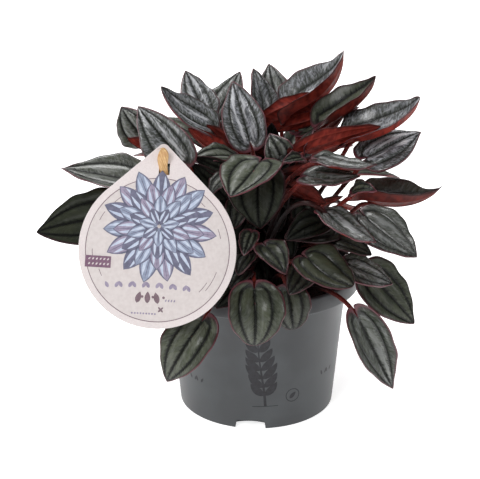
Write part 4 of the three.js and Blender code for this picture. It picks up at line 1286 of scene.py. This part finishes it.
# %% Ink
def ink_material(name, dark, light):
    """Offset ink: thin, matt, and a little uneven where the paper or plastic drinks it."""
    made, tree = new_material(name)
    place = add(tree, "NewGeometry", output="Position")
    cover = add(tree, "TexNoise", {"Vector": place, "Scale": grain(2), "Detail": 4.0})
    colour = mottled(tree, cover, 0.3, 0.7, dark, light)
    surface = add(tree, "BsdfPrincipled", {"Base Color": colour, "Roughness": 0.5, "IOR": 1.45})
    add(tree, "OutputMaterial", {"Surface": surface})
    return made


# %% Inks on the card
INKS = [
    ink_material("ink_mauve_brown", "#6E5A62", "#7C6870"),
    ink_material("ink_slate_violet", "#5E5E72", "#6E6E84"),
    ink_material("ink_grey_blue", "#7E879C", "#949DB2"),
    ink_material("ink_pale_blue", "#AFB9CE", "#C2CAD9"),
    ink_material("ink_warm_mauve", "#877D92", "#9C92A6"),
    ink_material("ink_ribbon_plum", "#6E4F65", "#7D5F72"),
    ink_material("ink_warm_white", "#C9C0C0", "#D5CDCD"),
    ink_material("ink_card_tint", "#C9C0BE", "#D0C8C6"),
]
MAUVE, SLATE, BLUE, PALE, WARM, RIBBON, WHITE, TINT = range(8)

# %% Tinted disc, ring and ticks
DISC_RADIUS = 37.2
RING_RADIUS, RING_WIDTH, TICK_WIDTH = 37.5, 0.4, 0.3
TICKS = (  # where each thin tick starts and ends in degrees, and its radius
    (111, 135, 33.6), (46, 60, 33.6), (147, 156, 34.0), (14, 23, 33.4),
    (-37, -17, 32.8), (-42, -30, 30.8), (182, 188, 34.0), (201, 208, 32.0),
)
ring_shapes = [
    arc(DISC_RADIUS / 2, 90, 450, DISC_RADIUS, ink=TINT, layer=0),  # its seam lies under the rosette
    arc(RING_RADIUS, 0, 360, RING_WIDTH, ink=MAUVE, layer=1),
]
for start, end, radius in TICKS:
    ring_shapes.append(arc(radius, start, end, TICK_WIDTH, ink=MAUVE))

# %% Rosette
ROSETTE_Y = 12.5
EVERY_OTHER = 0.93  # the length of every other leaf
OUTLINE_WIDER, BODY_LENGTH, BODY_WIDTH = 1.0, 0.97, 0.9  # the dark outline, and the body on it
STRIPE_SHIFT, STRIPE_LENGTH, STRIPE_WIDTH = 0.16, 0.68, 0.2  # as shares of the leaf's
STRIPE_TURN, STRIPE_BEND = 8, 0.26  # in degrees and in radians, away from the midrib and back
RIB_LENGTH, RIB_WIDTH = 0.92, 0.5
WHORLS = (  # how many leaves, where they start and end, their width, the layer they lie in
    (15, 12.0, 30.5, 8.6, 2), (13, 8.0, 24.0, 8.0, 4), (10, 4.0, 17.5, 7.0, 6), (7, 0.8, 11.0, 5.6, 8),
)
rosette = []
for count, inner, outer, width, layer in WHORLS:
    for k in range(count):
        turn = 360 / count * (k + 0.5 * (layer % 4 == 0)) + 90
        away = np.array([math.cos(math.radians(turn)), math.sin(math.radians(turn))])
        beside = np.array([-away[1], away[0]])
        foot = inner * away + [0, ROSETTE_Y]
        length = (outer - inner) * (1.0 if k % 2 else EVERY_OTHER)
        body = (BLUE, WARM, SLATE)[(k + layer) % 3] if layer < 8 else (SLATE, BLUE)[k % 2]
        rosette.append(petal(*foot, turn, length, width + OUTLINE_WIDER, ink=SLATE, layer=layer))
        rosette.append(petal(*foot, turn, length * BODY_LENGTH, width * BODY_WIDTH, 0.0, body, layer + 0.5))
        for side in (-1, 1):
            x, y = foot + STRIPE_SHIFT * width * side * beside + STRIPE_SHIFT * length * away
            leans, long, wide = turn + STRIPE_TURN * side, length * STRIPE_LENGTH, width * STRIPE_WIDTH
            rosette.append(petal(x, y, leans, long, wide, -STRIPE_BEND * side, PALE, layer + 1))
        rosette.append(petal(*foot, turn, length * RIB_LENGTH, RIB_WIDTH, 0.0, SLATE, layer + 1.1))

# %% Small ornaments
ornaments = []
for k in range(13):  # a gently bowed row
    x = -24.5 + 3.55 * k
    ornaments.append(petal(x, -19.9 - 0.002 * (x + 3) ** 2, 62 if k % 2 else 118, 3.6, 1.9, ink=WARM))
for k in range(3):  # three larger leaves, each with a bead beside its point
    ornaments.append(petal(-9.4 + 5.6 * k, -28.0, 90 + 16 * (k - 1), 6.2, 3.0, ink=MAUVE))
    ornaments.append(arc(0.35, 0, 360, 0.7, -6.6 + 5.6 * k, -24.6, ink=MAUVE))
for k in range(4):  # a short row of buds, and a flower of four petals
    ornaments.append(petal(5.6 + 1.5 * k, -26.8, 70, 1.6, 0.8, ink=WARM))
    ornaments.append(petal(3.4, -31.0, 45 + 90 * k, 1.9, 1.0, ink=MAUVE))
for k in range(9):
    ornaments.append(arc(0.25, 0, 360, 0.5, -11.4 + 1.5 * k, -33.4, ink=WARM))

# %% Ribbon at the card's left edge
RIBBON_Y, RIBBON_HALF, RIBBON_ENDS, RIBBON_LAYER = -7.7, 3.0, (-37.3, -23.9), 12
ribbon = [(x, RIBBON_Y) for x in np.linspace(*RIBBON_ENDS, 6)]
ornaments.append(stroke(ribbon, [RIBBON_HALF] * 6, RIBBON, RIBBON_LAYER))
for k in range(6):
    for row in (-1, 1):
        seed = petal(-35.6 + 1.95 * k, -8.1 + 1.3 * row, 50, 1.5, 0.8, ink=WHITE, layer=RIBBON_LAYER + 1)
        ornaments.append(seed)


# %% Print on the card
def on_card(x, y, height):
    """A place on the card's front."""
    return tuple(moved([(x, y, CARD_HALF + height)], tag_frame)[0])


print_piece("print_tag_rings", ring_shapes, on_card, INKS)
print_piece("print_tag_rosette", rosette, on_card, INKS)
print_piece("print_tag_ornaments", ornaments, on_card, INKS)

# %% [markdown]
# The pot's print is a darker grey on grey. It is laid out in millimetres of wall, across from the middle
# of the front and up from the table, and wrapped round the cone of the wall.

# %% The pot's wall
ink_dark = ink_material("ink_pot_anthracite", "#131217", "#201F25")
FOOT_Z, FOOT_R, SHOULDER_Z, SHOULDER_R = 4.4, 46.35, 73.2, 52.45


def on_wall(x, z, height):
    """A place on the pot's wall, x millimetres of wall to the right of the front."""
    radius = FOOT_R + (SHOULDER_R - FOOT_R) * (z - FOOT_Z) / (SHOULDER_Z - FOOT_Z)
    turn = x / radius
    return ((radius + height) * math.sin(turn), -(radius + height) * math.cos(turn), z)


# %% Spray, ring and small ornaments on the pot
SPRAY_PAIRS, STEM_STEPS = 6, 25
STEM_LINE = [(4.5, 15.4), (3.6, 26), (2.0, 37), (0.6, 48), (0.0, 56)]
SPRAY_LEAF = 13.5  # the longest pair, and 1.1 mm less for each pair above or below it
ORNAMENT_PLACES = ((-39, 26.2), (47.5, 28.8))
stem = spline(STEM_LINE, STEM_STEPS)
spray = [stroke(stem, np.linspace(0.8, 0.3, STEM_STEPS))]
for k in range(SPRAY_PAIRS):
    x, z = stem[int(4 + 3.2 * k)]
    length = SPRAY_LEAF - 1.1 * abs(k - 2)
    spray.append(petal(x, z, 38, length, 4.6, 0.5))
    spray.append(petal(x, z, 148, length, 4.6, -0.5))
spray.append(petal(*stem[-1], 92, 9, 4.2))
spray.append(stroke([(x, 15.2) for x in np.linspace(-3, 12, 9)], [0.22] * 9))
spray.append(arc(4.1, 0, 360, 0.55, 20.8, 20.6))
spray.append(petal(18.9, 18.7, 45, 5.4, 2.6))
for centre_x, centre_z in ORNAMENT_PLACES:
    for k in range(4):
        spray.append(petal(centre_x - 4.5 + 2.6 * k, centre_z - 1.4, 60 if k % 2 else 110, 3.6, 1.5))
print_piece("print_pot_spray", spray, on_wall, [ink_dark])

# %% [markdown]
# ## Bamboo stick
#
# A flat stick split from bamboo stands in the compost, leans out over the rim, and carries the card
# through its slot. Split bamboo has fine straight fibres along its length. Its end is cut at a node, so
# it is thicker there, rounded and a little scorched. A wood texture in space would run askew through a
# leaning stick, so the place along the unleaned stick goes with the mesh, and the fibres follow it.

# %% Stick frame
STICK_FOOT = Vector((-15.5, -19.5, 30))
STICK_WIDTH, STICK_THICKNESS, STICK_RISE = 5.2, 1.4, 154.6
STICK_BEND = 4.0  # how far in mm its end is bent over to the right
slot_point = tag_frame @ Vector((0, SLOT_HEIGHT, 0))
stick_up = (slot_point - STICK_FOOT).normalized()
stick_across = Vector((0, 1, 0)).cross(stick_up).normalized()
stick_through = stick_up.cross(stick_across)
turned_axes = Matrix((stick_across, stick_through, stick_up)).transposed().to_4x4()
stick_frame = Matrix.Translation(STICK_FOOT) @ turned_axes
print(f"the stick leans {math.degrees(stick_up.angle(Vector((0, 0, 1)))):.0f} degrees")

# %% Bamboo
bamboo, tree = new_material("bamboo_split_dry")
along = add(tree, "Attribute", output="Vector", attribute_name="along_stick")
height_up = add(tree, "Attribute", output="Fac", attribute_name="up_stick")
fibre_scale = (grain(10 / 24, FLAT_MM), grain(10 / 24, FLAT_MM), grain(100 / 12, FLAT_MM))
squeezed = add(tree, "Mapping", {"Vector": along, "Scale": fibre_scale})
fibres = add(tree, "TexNoise", {"Vector": squeezed, "Scale": 1.0, "Detail": 5.0})
straw = mottled(tree, fibres, 0.35, 0.65, "#AC824E", "#D8B883")
bands = add(tree, "TexNoise", {"Vector": along, "Scale": grain(10 / 3, FLAT_MM), "Detail": 1.0})
straw = tinted(tree, straw, bands, (0.4, 0.62, 0.0, 0.5), "#B38253")
straw = tinted(tree, straw, height_up, (STICK_RISE - 1.5, STICK_RISE, 0.0, 0.5), "#A98455")
bump = add(tree, "Bump", {"Height": fibres, "Strength": 0.6, "Distance": 0.2 * MM})
surface = add(tree, "BsdfPrincipled", {"Base Color": straw, "Roughness": 0.5, "Normal": bump, "IOR": 1.5})
add(tree, "OutputMaterial", {"Surface": surface})

# %% The stick's section and levels
STICK_SIDES = 24
NODE_AT, NODE_SPREAD = 148.8, 3.8  # where the stick swells at its node
STICK_ROUND, ROUND_POWER = 4.5, 2.2  # the length of its rounded end, and how blunt it is
STICK_PLAIN, STICK_NODE = 0.84, 0.34  # its width away from the node, and what the node adds
END_THICKNESS, NODE_THICKNESS = 0.6, 0.5  # what is left at the end, and what the node adds
BEND_SPAN = 4  # the bend begins this far below the slot, and would go on this far past the end
section_turn = np.linspace(0, 2 * np.pi, STICK_SIDES, endpoint=False)
square_x = np.sign(np.cos(section_turn)) * np.abs(np.cos(section_turn)) ** 0.5
square_y = np.sign(np.sin(section_turn)) * np.abs(np.sin(section_turn)) ** 0.7
round_from = STICK_RISE - STICK_ROUND
levels = [*np.linspace(0, 136, 30), *np.linspace(137, round_from, 12)]
levels += list(round_from + STICK_ROUND * np.sin(np.linspace(0.2, 1.45, 10)))
print("stick rings:", len(levels))

# %% Stick
slot_level = (slot_point - STICK_FOOT).length
rings = []
for level in levels:
    near_end = 1 - min((STICK_RISE - level) / STICK_ROUND, 1)
    share = math.sqrt(max(0.02, 1 - near_end**ROUND_POWER))
    swell = math.exp(-(((level - NODE_AT) / NODE_SPREAD) ** 2))
    half_wide = STICK_WIDTH / 2 * share * (STICK_PLAIN + STICK_NODE * swell)
    half_thick = STICK_THICKNESS / 2 * (END_THICKNESS + (1 - END_THICKNESS) * share)
    half_thick *= 1 + NODE_THICKNESS * swell
    lean = STICK_BEND * ramp(level, slot_level - BEND_SPAN, STICK_RISE + BEND_SPAN)
    section = [half_wide * square_x + lean, half_thick * square_y, [level] * STICK_SIDES]
    rings.append(np.column_stack(section))
points, faces = loft((0, 0, 0), rings, (0, 0, STICK_RISE))
facts = {"along_stick": points, "up_stick": points[:, 2]}
stick_piece = make_piece("bamboo_stick", moved(points, stick_frame), faces, [bamboo], attributes=facts)
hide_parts("tag_stick")
